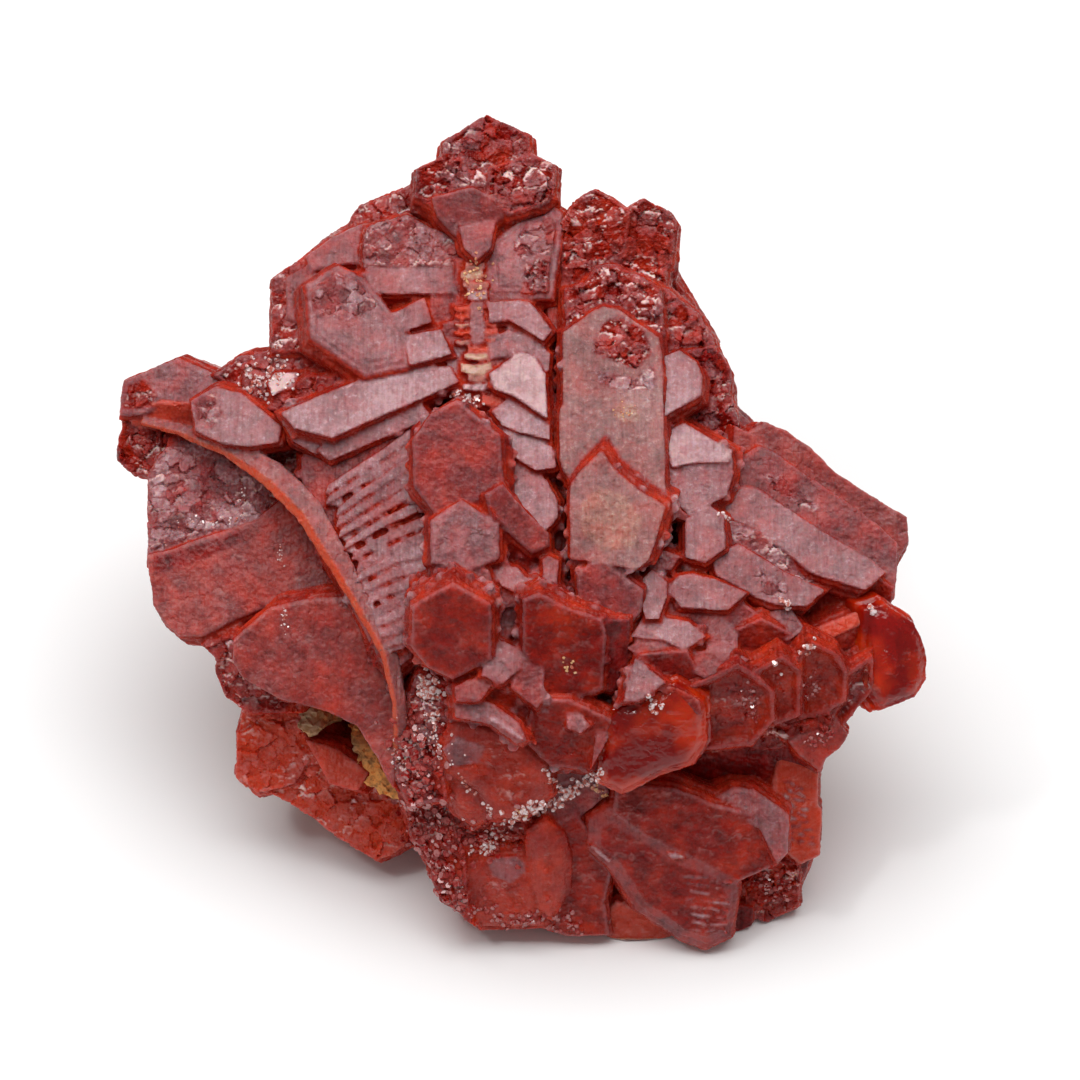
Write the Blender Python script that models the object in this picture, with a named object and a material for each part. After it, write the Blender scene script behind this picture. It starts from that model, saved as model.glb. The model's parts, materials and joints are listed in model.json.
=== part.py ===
"""Vanadinite on matrix: a crust of grown-together hexagonal crystals over a lump of rock.

The front crystals are laid out on a sheet that leans back over the specimen. A point of the
sheet is (a, b): a to the right and b up the sheet, in millimetres. A third number, the lift,
is the height above the sheet. Lines square to the sheet draw together with height, as if they
met at a far point, so an outline keeps its place in the layout whatever its lift is. The
crystals at the rear are placed in the model's own axes instead.

The model rests on the trimmed underside of the rock, on z = 0.
"""

import math
import random

import bmesh
import bpy
from mathutils import Vector

# Driving dimensions, in millimetres and degrees
MM = 0.001
SHEET_LEAN = math.radians(50.0)   # between the sheet and the upright
SHEET_HEIGHT = 13.6               # of the sheet's origin over the floor
SHEET_BACK = -1.85                # where the sheet's origin stands front to back
SHEET_SIDE = 0.3                  # and side to side
MEETING_DISTANCE = 194.3          # lines square to the sheet meet this far above it
MEETING_SIDE = 0.74               # and this far right of its origin

RIDGE = -6.4                      # b of the ridge between the front wall and the roof
RIDGE_LIFT = 4.6
WALL_RISE = 0.643                 # lift gained for each millimetre up the front wall
ROOF_FALL = 0.259                 # lift lost for each millimetre up the roof
CREST = 1.0                       # a of the highest line, from which both sides fall away
LEFT_FALL = 0.016
RIGHT_FALL = 0.010

PARTING = 0.3                     # open gap between two clusters, and to the rock
FLOOR_CLEARANCE = 0.15            # the crystals stop this far above the floor
FLOOR_REACH = 40.0                # half width of the slab that cuts them off there
MERGE = 0.0005                    # points closer than this are one point

# Each crystal: its end face as points on the sheet, how proud it stands of the crust's general
# relief, the slope of its end face (lift per millimetre to the right, and up), and where its
# root lies from the end face (right, up, lift).

CROWN_CRYSTAL = [
    # three lobes in one plane, the block under them and the small stub at its foot
    ([(-3.4, 17.35), (-1.6, 18.45), (0.2, 17.65), (0.25, 16.0), (-1.5, 15.1), (-3.5, 15.9)],
     0.7, (0.0, -0.2), (0.1, -2.6, -4.6)),
    ([(-4.6, 16.15), (-3.4, 16.75), (-1.7, 16.2), (-1.6, 14.7), (-3.1, 14.1), (-4.65, 15.0)],
     0.75, (0.05, -0.2), (0.5, -2.2, -4.6)),
    ([(-1.4, 16.2), (0.3, 16.8), (1.4, 16.3), (1.35, 15.0), (0.9, 14.65), (-0.6, 14.2), (-1.6, 14.9)],
     0.7, (-0.05, -0.2), (-0.5, -2.2, -4.6)),
    ([(-3.9, 14.9), (-2.2, 15.3), (-0.6, 14.6), (-1.2, 13.8), (-2.9, 13.3), (-3.7, 14.1)],
     0.75, (0.0, 0.1), (0.2, -1.4, -4.6)),
    ([(-2.75, 13.6), (-1.2, 13.9), (-1.45, 12.7), (-2.0, 12.2), (-2.55, 12.7)],
     0.8, (0.0, -0.5), (0.0, -0.6, -4.6)),
]

UPPER_LEFT_FAN = [
    # the bed, then the rim that closes the fan at the back
    ([(-10.4, 8.4), (-10.2, 10.9), (-7.8, 13.0), (-5.0, 14.6), (-1.0, 14.0), (1.2, 13.8), (1.15, 1.4),
      (0.6, 0.6), (-0.8, 1.8), (-1.1, 4.5), (-2.9, 6.1), (-4.5, 5.7), (-8.0, 4.5), (-10.4, 5.0),
      (-12.2, 6.4), (-12.2, 7.6)],
     -1.5, (0.1, -0.26), (0.8, -0.5, -5.0)),
    ([(-10.95, 8.2), (-10.9, 11.35), (-9.9, 12.0), (-8.3, 13.35), (-7.6, 13.7), (-7.1, 14.5),
      (-4.65, 15.5), (-3.4, 15.0), (-3.2, 12.0), (-5.5, 9.5), (-8.0, 8.2)],
     -0.9, (0.1, -0.3), (1.2, -1.2, -4.0)),
    ([(-10.3, 11.35), (-9.4, 11.9), (-8.9, 11.4), (-9.15, 9.0), (-10.2, 9.7)],
     -0.1, (0.2, -0.3), (0.8, -0.4, -3.5)),
    ([(-9.4, 12.3), (-8.2, 13.2), (-7.0, 13.7), (-6.9, 12.1), (-8.2, 12.0), (-9.2, 11.7)],
     -0.3, (0.2, -0.4), (0.8, -0.4, -3.5)),
    # crackled blade with a smooth pale slab in front of it
    ([(-7.0, 12.6), (-6.75, 13.6), (-5.1, 14.1), (-4.1, 13.6), (-2.8, 13.1), (-2.7, 11.9), (-6.9, 11.9)],
     0.1, (0.05, -0.3), (0.4, -0.6, -3.5)),
    ([(-6.95, 11.6), (-5.0, 12.1), (-3.0, 12.05), (-2.75, 10.8), (-6.0, 10.75), (-6.8, 11.1)],
     0.2, (0.05, -0.52), (0.2, -0.6, -3.5)),
    # the big blade and the small steps at its foot
    ([(-9.3, 11.1), (-8.0, 11.95), (-6.9, 11.4), (-5.2, 9.2), (-5.0, 7.65), (-6.8, 7.3), (-9.1, 8.9)],
     1.1, (0.08, -0.36), (-0.6, -1.2, -3.5)),
    ([(-5.6, 9.9), (-4.3, 10.5), (-4.0, 9.5), (-5.1, 9.1)],
     0.5, (0.1, -0.5), (0.2, -0.4, -3.0)),
    ([(-5.1, 8.85), (-3.6, 9.15), (-3.15, 8.1), (-4.9, 7.65)],
     0.7, (0.1, -0.52), (0.2, -0.4, -3.0)),
    ([(-4.0, 10.7), (-2.6, 10.75), (-2.4, 9.7), (-3.9, 9.6)],
     0.0, (0.0, -0.2), (0.2, -0.4, -3.0)),
    ([(-3.5, 9.4), (-2.4, 9.6), (-2.3, 8.4), (-3.1, 8.3)],
     0.2, (0.0, -0.1), (0.2, -0.4, -3.0)),
    ([(-3.3, 8.2), (-2.4, 8.3), (-2.3, 6.4), (-3.0, 6.3), (-3.2, 7.2)],
     0.1, (0.0, -0.2), (0.2, -0.4, -3.0)),
    # the spine
    ([(-2.6, 12.2), (-1.6, 12.2), (-1.35, 6.0), (-2.0, 5.7), (-2.6, 6.2)],
     0.3, (0.0, -0.26), (0.0, -0.4, -4.0)),
    # right of the spine: a tall blade, then the stair of ribs beside the cleft
    ([(-1.5, 12.8), (0.0, 13.9), (1.25, 14.5), (1.65, 14.2), (1.65, 13.7), (1.2, 10.6), (-1.5, 10.6)],
     0.1, (0.0, -0.3), (0.0, -0.6, -4.0)),
    ([(-1.5, 10.3), (-0.2, 10.4), (0.3, 10.3), (1.2, 9.1), (0.9, 8.7), (-0.6, 9.6), (-1.4, 9.5)],
     0.5, (0.0, -0.55), (0.0, -0.5, -3.5)),
    ([(-1.5, 8.7), (-0.6, 9.1), (0.3, 8.8), (1.15, 8.1), (1.1, 7.4), (-0.1, 8.1), (-1.4, 7.9)],
     0.4, (0.0, -0.35), (0.0, -0.5, -3.5)),
    ([(-1.4, 7.2), (-0.1, 8.15), (0.5, 7.9), (0.95, 7.2), (1.0, 5.4), (-0.4, 6.3), (-1.2, 6.6)],
     0.8, (-0.02, -0.5), (0.0, -0.5, -3.5)),
    ([(-1.3, 5.6), (-0.5, 6.2), (1.1, 5.25), (1.15, 4.4), (-0.1, 4.7), (-0.9, 5.0)],
     0.8, (-0.02, -0.5), (0.0, -0.5, -3.5)),
    ([(-0.85, 4.9), (-0.2, 4.8), (1.25, 4.0), (1.4, 3.2), (0.6, 3.05), (-0.8, 3.9)],
     0.8, (-0.02, -0.48), (0.0, -0.5, -3.5)),
    ([(-0.85, 3.2), (-0.4, 3.5), (1.0, 2.6), (1.45, 1.7), (1.45, 1.0), (0.9, 0.4), (-0.85, 1.6)],
     0.8, (0.0, -0.44), (0.0, -0.4, -3.5)),
    # the long pale prism that closes the fan below, and the slabs beside it
    ([(-10.4, 5.5), (-9.0, 6.15), (-5.5, 7.5), (-3.2, 7.45), (-2.9, 6.9), (-4.4, 6.2), (-7.0, 5.1),
      (-8.3, 4.5), (-9.9, 4.9)],
     1.0, (0.12, -0.52), (0.4, -0.2, -3.5)),
    ([(-8.9, 3.9), (-8.3, 4.4), (-4.6, 6.1), (-4.0, 5.3), (-5.1, 4.9), (-8.4, 3.5)],
     0.6, (0.14, -0.3), (0.4, -0.2, -3.5)),
    ([(-10.3, 4.9), (-8.6, 5.0), (-8.2, 4.3), (-9.0, 3.75), (-10.0, 4.3)],
     0.7, (0.1, -0.5), (0.4, 0.0, -3.5)),
    ([(-11.2, 5.7), (-10.8, 6.1), (-9.4, 7.1), (-6.9, 7.1), (-10.3, 5.5)],
     0.1, (0.15, 0.1), (0.5, 0.3, -3.5)),
    ([(-13.4, 7.15), (-12.3, 7.9), (-11.0, 8.2), (-9.6, 8.2), (-9.7, 7.0), (-11.1, 5.8), (-12.4, 6.4)],
     -0.5, (0.2, -0.1), (1.2, -0.2, -3.5)),
    ([(-11.1, 6.8), (-10.8, 7.25), (-9.8, 7.25), (-10.1, 6.7), (-10.9, 6.25)],
     0.3, (0.1, -0.6), (0.4, 0.0, -3.0)),
]

RIBBED_FACE = [
    ([(-9.6, 3.6), (-8.0, 3.9), (-4.7, 5.0), (-4.6, 2.0), (-3.8, 0.6), (-3.9, -1.8), (-4.8, -2.9),
      (-4.9, -5.0), (-5.8, -5.8), (-6.5, -4.6), (-8.4, -1.0), (-9.4, 1.2)],
     -0.5, (0.24, -0.22), (0.6, -0.4, -5.0)),
]
# The comb on it: RIB_COUNT thin slabs across the face, from the first to the last rib
RIB_COUNT = 13
RIB_WIDTH = 0.5
RIB_PROUD = 0.35
RIB_FIRST = ((-8.5, 2.2), (-4.9, 4.6))
RIB_LAST = ((-6.0, -4.6), (-4.9, -4.2))
RIB_SLANT = 0.12                  # a rib's upper left corner lies this far right of its lower one
RIB_BULGE = 0.9                   # how far the ribs reach right beside the middle crystals' gap
RIB_BULGE_START = 0.3             # as shares of the way from the first rib to the last
RIB_BULGE_LENGTH = 0.5
RIB_SLOPE = (0.24, -0.3)
RIB_ROOT = (0.3, -0.3, -2.0)

LEFT_WING = [
    # the bed that carries the plates
    ([(-15.9, 2.6), (-15.4, 4.4), (-12.8, 5.0), (-10.0, 4.4), (-8.6, 1.2), (-6.6, -3.2), (-5.8, -7.0),
      (-5.9, -9.6), (-7.4, -7.4), (-10.5, -6.5), (-12.7, -5.0), (-14.6, -3.8), (-16.0, -2.2)],
     -1.7, (0.2, -0.1), (2.0, 0.5, -3.0)),
    # three hollowed plates, one over the other
    ([(-16.3, 2.8), (-15.9, 3.6), (-15.0, 4.4), (-12.5, 3.9), (-10.9, 2.6), (-11.6, 0.4), (-13.5, 0.5),
      (-15.0, 0.0), (-15.9, -0.7), (-16.35, -0.9)],
     -0.3, (0.1, -0.3), (1.6, -0.4, -3.0)),
    ([(-16.35, -0.7), (-15.5, -0.5), (-11.7, 0.8), (-10.4, 1.8), (-9.2, 0.4), (-8.0, -1.9), (-9.0, -3.0),
      (-11.3, -2.9), (-12.6, -3.4), (-14.0, -4.1), (-15.0, -4.1), (-15.6, -3.6), (-16.1, -2.7)],
     -0.7, (0.05, -0.2), (2.0, -0.3, -3.0)),
    ([(-12.6, -4.4), (-11.9, -3.8), (-11.0, -3.0), (-8.9, -2.6), (-7.8, -2.6), (-6.3, -4.9),
      (-5.8, -6.5), (-5.6, -8.5), (-5.7, -10.8), (-6.4, -9.4), (-7.2, -8.1), (-8.6, -7.4), (-10.6, -6.9),
      (-12.2, -6.0), (-12.6, -5.3)],
     -1.3, (0.1, 0.02), (2.0, 1.0, -3.0)),
    ([(-14.0, -4.6), (-12.8, -4.2), (-11.0, -5.4), (-10.3, -7.0), (-10.4, -7.5), (-12.1, -7.5),
      (-13.0, -6.8), (-13.4, -5.8), (-13.4, -5.1)],
     -2.0, (0.1, 0.3), (2.4, 1.4, -3.0)),
    # the knob at the tip
    ([(-17.5, 5.5), (-17.5, 6.2), (-17.35, 6.9), (-16.5, 7.25), (-15.05, 7.85), (-13.45, 7.15),
      (-12.0, 6.3), (-14.0, 5.8), (-15.5, 5.95), (-16.6, 5.5)],
     0.3, (0.1, -0.2), (1.6, -0.6, -3.2)),
    ([(-14.4, 6.0), (-13.4, 6.6), (-12.3, 6.35), (-10.6, 4.9), (-10.7, 4.3), (-12.0, 4.1),
      (-13.2, 4.3), (-14.2, 4.8)],
     1.1, (0.15, -0.45), (1.0, -0.2, -3.5)),
    ([(-17.1, 5.5), (-15.8, 6.0), (-14.2, 5.9), (-13.8, 4.6), (-15.6, 4.7), (-17.0, 5.0)],
     -0.1, (0.1, 0.5), (1.6, 0.2, -3.0)),
    ([(-17.65, 3.5), (-17.6, 4.4), (-17.3, 5.2), (-15.4, 4.9), (-15.0, 4.2), (-16.1, 3.3), (-16.3, 2.8),
      (-17.0, 2.9)],
     -0.2, (0.1, -0.1), (2.0, 0.4, -3.2)),
]
# The ridge that curls over the plates: its lower edge and its width, from the knob to its foot
RIDGE_LINE = [(-16.6, 5.0), (-15.0, 4.55), (-13.0, 3.65), (-11.3, 2.4), (-9.9, 1.0), (-8.8, -0.7),
              (-7.4, -2.9), (-6.2, -5.0), (-5.7, -7.2), (-5.6, -9.0), (-5.5, -10.6)]
RIDGE_WIDTHS = [0.35, 0.5, 0.8, 1.2, 1.25, 1.1, 0.9, 0.8, 0.65, 0.55, 0.4]
RIDGE_STANDS = 1.3                # height of the ridge over the relief at its highest
RIDGE_SINKS = 0.4                 # taken off all along it
RIDGE_START = 0.35                # where on a half wave its height starts, and how much it covers
RIDGE_SPREAD = 0.6
RIDGE_LIP = 0.25                  # drop from its crest to its lower lip
RIDGE_DEPTH = 3.6                 # and to its root
RIDGE_UNDERCUT = 0.4

LOWER_LEFT_PLATE = [
    ([(-12.15, -7.3), (-12.45, -8.5), (-12.5, -10.3), (-11.6, -11.15), (-11.0, -11.0), (-10.2, -11.4),
      (-7.8, -13.1), (-6.4, -13.95), (-5.15, -13.3), (-4.9, -12.0), (-5.4, -11.2), (-8.4, -9.6),
      (-9.6, -7.6)],
     -2.8, (0.02, 0.3), (1.6, 1.4, -3.0)),
    ([(-12.3, -8.2), (-12.4, -10.2), (-11.6, -11.0), (-10.0, -10.6), (-9.4, -9.6), (-10.4, -7.8)],
     -2.5, (0.1, 0.1), (1.6, 1.4, -3.0)),
    ([(-9.4, -8.8), (-8.0, -9.2), (-6.8, -10.2), (-7.2, -10.9), (-8.4, -10.6)],
     -2.2, (0.0, -0.2), (1.0, 0.8, -3.0)),
]

MIDDLE_CRYSTALS = [
    # the bed
    ([(-4.5, 4.8), (-3.0, 5.8), (-1.1, 4.4), (-0.95, 1.6), (0.8, 0.2), (1.45, -0.8), (1.5, -2.5),
      (2.3, -3.2), (4.4, -3.8), (4.3, -6.4), (3.5, -6.9), (4.0, -7.8), (3.3, -9.9), (1.0, -9.9),
      (-1.6, -7.9), (-2.8, -7.6), (-3.1, -6.2), (-4.6, -5.4), (-4.6, -2.7), (-3.9, -1.0), (-3.8, 0.8),
      (-4.6, 2.4)],
     -1.0, (0.05, 0.02), (0.0, -0.4, -5.0)),
    # the upper prism leans away to the lower right
    ([(-4.75, 4.4), (-4.0, 5.45), (-2.9, 6.05), (-1.1, 4.6), (-0.9, 2.3), (-2.3, 1.7), (-3.7, 1.1),
      (-4.75, 2.4)],
     2.3, (0.0, -0.06), (0.8, -1.3, -4.5)),
    ([(-1.6, 2.0), (-0.9, 2.4), (0.2, 1.15), (1.1, 0.3), (1.1, -0.2), (0.4, -0.5), (-0.5, 0.3),
      (-1.4, 1.2)],
     1.6, (-0.3, 0.0), (-0.4, -0.9, -3.5)),
    ([(-1.3, 1.2), (-0.4, 0.3), (0.4, -0.5), (1.0, -0.8), (0.9, -1.3), (-0.2, -1.4), (-1.2, -0.4)],
     0.6, (0.0, 0.8), (0.0, -0.4, -3.5)),
    ([(-3.95, 0.8), (-2.7, 1.65), (-1.1, 0.65), (-1.1, -0.8), (-2.5, -1.4), (-3.95, -1.0)],
     2.1, (0.0, -0.2), (0.1, 0.4, -4.5)),
    ([(-3.85, -1.35), (-2.9, -0.7), (-1.5, -1.4), (-1.3, -2.4), (-2.6, -2.9), (-3.9, -2.3)],
     1.7, (0.0, 0.05), (0.1, 0.4, -4.0)),
    ([(-3.05, -1.95), (-4.75, -2.9), (-4.8, -4.7), (-4.1, -5.5), (-3.05, -6.0), (-1.45, -5.2),
      (-1.45, -2.85)],
     2.2, (0.05, 0.4), (0.2, 1.3, -4.5)),
    ([(0.05, -2.65), (0.7, -2.4), (1.9, -3.0), (3.4, -3.5), (3.55, -4.2), (3.4, -6.5), (1.7, -7.1),
      (0.9, -6.7), (0.05, -4.8)],
     1.5, (0.0, 0.4), (0.1, 1.0, -4.5)),
    ([(3.2, -3.4), (3.7, -3.5), (4.6, -3.5), (4.5, -5.8), (3.8, -6.6), (3.2, -6.4)],
     0.9, (-0.2, 0.5), (0.0, 0.8, -4.0)),
    # small steps between the proud prisms
    ([(-1.3, -1.3), (-0.9, -1.2), (-0.3, -1.2), (0.75, -2.3), (0.0, -2.4), (-0.9, -2.0)],
     1.2, (0.0, -0.5), (0.0, 0.2, -3.0)),
    ([(0.85, -0.9), (1.1, -0.7), (1.55, -0.9), (1.45, -2.2), (1.0, -2.3)],
     1.0, (0.0, -0.5), (0.0, 0.2, -3.0)),
    ([(-1.5, -2.0), (0.1, -2.35), (0.0, -2.9), (-1.4, -2.9)],
     0.9, (0.0, -0.1), (0.0, 0.2, -3.0)),
    ([(-1.1, -2.8), (-0.2, -2.9), (-0.1, -3.9), (-0.6, -4.2), (-1.15, -3.9)],
     0.5, (0.0, -0.2), (0.0, 0.0, -2.6)),
    ([(-1.35, -4.5), (-1.0, -4.4), (0.0, -4.9), (-0.15, -5.6), (-0.9, -6.25), (-1.8, -5.9)],
     1.1, (0.0, -0.45), (0.0, 0.3, -3.0)),
    ([(0.0, -5.05), (0.85, -5.3), (0.9, -6.8), (0.6, -7.3), (-0.5, -6.4), (-0.2, -5.7)],
     0.9, (-0.1, -0.2), (0.0, 0.3, -3.0)),
    ([(-2.95, -6.4), (-2.3, -6.1), (-1.7, -5.9), (-1.4, -6.4), (-1.9, -7.0), (-2.9, -7.0)],
     0.9, (0.1, -0.3), (0.0, 0.3, -3.0)),
    ([(-2.95, -7.0), (-1.9, -7.0), (-1.3, -7.2), (-0.2, -8.0), (0.1, -8.7), (-0.3, -8.8), (-1.4, -7.95),
      (-2.9, -7.7)],
     1.5, (0.1, -0.2), (0.0, 0.6, -3.5)),
    ([(-1.3, -6.4), (-0.8, -6.2), (0.3, -6.9), (0.0, -8.1), (-1.4, -7.2)],
     0.4, (0.2, 0.5), (0.0, 0.3, -3.0)),
    ([(0.5, -7.0), (2.0, -7.0), (3.9, -7.9), (3.3, -9.5), (3.1, -10.0), (1.2, -9.8), (0.1, -8.7)],
     1.0, (0.0, 0.6), (0.0, 0.8, -3.5)),
    ([(1.9, -7.5), (2.5, -7.6), (2.9, -8.1), (2.5, -8.4), (1.95, -8.2)],
     1.4, (0.0, -0.3), (0.0, 0.6, -2.0)),
    ([(3.25, -8.3), (3.8, -8.4), (3.4, -9.2), (2.95, -10.0), (3.05, -9.2)],
     1.5, (0.0, 0.0), (0.0, 0.6, -2.5)),
]

RIGHT_COLUMN = [
    # the bed
    ([(1.75, 12.8), (2.4, 14.4), (5.9, 14.0), (6.2, 12.0), (8.0, 9.0), (6.0, 8.6), (6.1, 2.3), (5.7, 0.0),
      (5.3, -1.2), (5.0, -3.0), (4.5, -3.5), (2.5, -3.0), (1.3, -1.6), (1.3, 2.4), (1.0, 3.6), (1.0, 12.8)],
     -2.4, (0.0, -0.26), (0.0, -0.4, -4.0)),
    # the twin tip
    ([(1.45, 13.6), (2.1, 14.5), (2.6, 15.0), (3.1, 15.25), (3.7, 14.95), (4.6, 14.3), (4.4, 12.3),
      (3.4, 11.6), (2.2, 11.1), (1.8, 11.5), (1.55, 12.6)],
     0.0, (0.1, 0.0), (0.6, -2.2, -4.6)),
    ([(4.3, 14.3), (4.9, 14.65), (5.3, 14.85), (6.35, 14.25), (6.6, 13.9), (6.45, 12.1), (6.2, 11.9),
      (6.2, 11.2), (5.9, 10.95), (4.4, 11.2), (3.7, 12.0)],
     -0.1, (-0.1, 0.0), (-0.4, -2.2, -4.6)),
    # the two big flat prisms, one over the other
    ([(1.85, 10.9), (2.6, 11.15), (3.2, 11.85), (3.8, 12.0), (4.6, 11.7), (5.9, 10.9), (6.1, 9.0),
      (4.0, 8.6), (1.9, 8.8)],
     0.5, (0.0, -0.28), (0.2, -1.0, -4.0)),
    ([(5.7, 11.0), (6.3, 10.9), (7.0, 10.25), (7.6, 9.8), (8.1, 9.0), (8.3, 8.3), (6.7, 8.0), (5.8, 8.6)],
     -0.1, (-0.1, -0.25), (0.0, -1.0, -4.0)),
    ([(1.8, 9.0), (2.9, 9.8), (3.5, 10.1), (4.1, 10.0), (5.0, 9.35), (5.85, 8.8), (6.0, 7.5), (6.15, 2.2),
      (5.0, 2.2), (2.2, 2.5), (1.85, 3.0), (1.65, 3.6), (1.65, 5.6), (1.8, 5.9)],
     1.2, (0.0, -0.3), (0.1, -0.3, -5.0)),
    # the blunt prism below them, and the small one in front of it
    ([(3.4, 3.75), (2.6, 3.0), (2.1, 2.4), (2.1, -0.8), (3.3, -0.95), (4.9, -1.25), (5.4, -0.9), (5.7, 0.0),
      (6.1, 1.4), (5.0, 2.1), (3.9, 3.0)],
     2.1, (0.02, -0.26), (0.5, 0.9, -2.6)),
    ([(5.0, 2.9), (6.2, 1.7), (7.15, 1.1), (7.1, 0.8), (6.1, 1.2), (4.6, 2.4)],
     1.2, (-0.1, 0.1), (0.2, 0.2, -3.0)),
    ([(2.4, -1.5), (3.0, -1.05), (3.5, -0.95), (5.15, -2.2), (5.1, -3.1), (4.6, -3.7), (2.5, -2.9)],
     1.7, (0.0, 0.05), (0.1, 0.7, -4.5)),
]

RIGHT_SHOULDER = [
    # the bed
    ([(6.4, 8.0), (8.2, 8.4), (9.0, 6.6), (9.2, 4.4), (9.1, 3.0), (8.8, 1.6), (8.7, 0.2), (9.8, -2.2),
      (12.2, -4.0), (12.0, -5.2), (9.4, -5.6), (7.8, -6.1), (6.2, -6.5), (4.7, -6.9), (4.8, -4.0),
      (5.4, -3.0), (5.5, -1.0), (6.0, 0.2), (6.3, 2.0), (6.3, 5.0)],
     -1.4, (0.0, -0.2), (-0.4, -0.2, -5.0)),
    ([(6.9, 8.2), (8.3, 8.45), (8.8, 7.85), (9.05, 7.3), (9.0, 6.5), (9.3, 5.3), (9.4, 4.7), (9.1, 3.7),
      (7.4, 4.7), (7.7, 6.2)],
     -0.4, (-0.3, -0.05), (-1.0, -1.0, -4.0)),
    ([(5.95, 7.9), (6.8, 8.2), (7.5, 7.7), (7.75, 7.1), (7.7, 6.35), (6.1, 5.4)],
     0.9, (-0.05, -0.46), (0.0, -0.7, -3.6)),
    ([(6.15, 4.6), (7.0, 5.05), (9.05, 3.85), (8.9, 3.4), (7.5, 3.4), (6.5, 3.2)],
     0.9, (-0.06, -0.6), (0.0, 0.0, -3.6)),
    ([(6.3, 3.4), (9.05, 3.5), (9.1, 2.9), (8.8, 1.95), (7.9, 1.5), (7.15, 1.15), (6.2, 2.2)],
     0.95, (-0.04, -0.28), (0.0, -0.3, -3.6)),
    ([(7.1, 0.9), (8.1, 1.45), (8.7, 1.0), (8.75, -0.35), (7.9, -0.95), (7.1, -0.7)],
     1.2, (-0.02, -0.42), (0.0, -0.2, -3.4)),
    ([(5.6, -0.35), (6.8, -0.7), (6.4, -1.3), (5.5, -1.15)],
     0.9, (0.0, -0.3), (0.0, -0.2, -3.0)),
    ([(5.1, -1.9), (5.6, -1.3), (6.25, -1.8), (6.2, -2.5), (5.9, -3.4), (5.35, -3.4), (5.1, -2.6)],
     1.3, (0.0, -0.45), (0.0, -0.2, -3.0)),
    ([(6.3, -2.1), (6.8, -1.6), (7.4, -1.5), (8.2, -1.7), (9.65, -2.3), (8.9, -3.0), (6.9, -2.9)],
     1.2, (-0.02, -0.42), (-0.2, -0.2, -3.0)),
    ([(6.2, -2.9), (8.8, -3.0), (9.4, -2.6), (10.1, -3.2), (9.2, -3.9), (7.6, -3.7), (6.1, -3.4)],
     0.8, (0.0, -0.1), (-0.2, -0.2, -3.0)),
    ([(4.7, -4.2), (5.2, -3.5), (6.2, -3.4), (7.2, -3.6), (7.9, -4.2), (7.0, -4.75), (6.1, -4.3)],
     1.2, (0.0, -0.4), (-0.1, 0.0, -3.0)),
    ([(4.5, -4.7), (5.4, -4.15), (6.1, -4.2), (7.1, -4.8), (5.0, -5.05)],
     1.0, (0.0, -0.15), (0.0, 0.1, -3.0)),
    ([(4.9, -5.15), (6.15, -6.2), (5.0, -7.0), (4.4, -7.0), (4.6, -6.1)],
     1.2, (0.05, -0.35), (0.0, 0.4, -3.0)),
    ([(8.2, -3.3), (8.6, -3.3), (9.3, -4.0), (9.3, -4.9), (8.0, -4.8), (8.0, -3.9)],
     0.9, (0.0, -0.35), (-0.2, 0.0, -3.0)),
    ([(7.2, -4.9), (9.0, -4.8), (9.8, -5.2), (9.4, -5.5), (7.9, -6.0), (7.4, -5.7)],
     1.0, (0.0, -0.25), (-0.1, 0.2, -3.0)),
    ([(9.3, -3.9), (10.4, -3.45), (11.6, -4.1), (11.4, -4.9), (10.1, -5.6), (9.3, -4.9)],
     0.7, (-0.1, 0.6), (-0.2, 0.4, -3.0)),
    ([(5.1, -5.0), (7.1, -4.85), (7.6, -5.8), (7.3, -6.5), (6.2, -6.3), (5.4, -5.5)],
     0.7, (0.0, 0.6), (0.0, 0.3, -3.0)),
    ([(5.9, -6.5), (6.6, -6.4), (7.7, -7.0), (7.7, -7.6), (6.6, -7.0)],
     1.3, (0.0, 0.2), (0.0, 0.4, -3.0)),
    ([(10.6, -3.3), (11.5, -2.8), (12.3, -3.9), (11.5, -4.4)],
     1.0, (-0.1, -0.3), (-0.4, 0.2, -3.0)),
]

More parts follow.
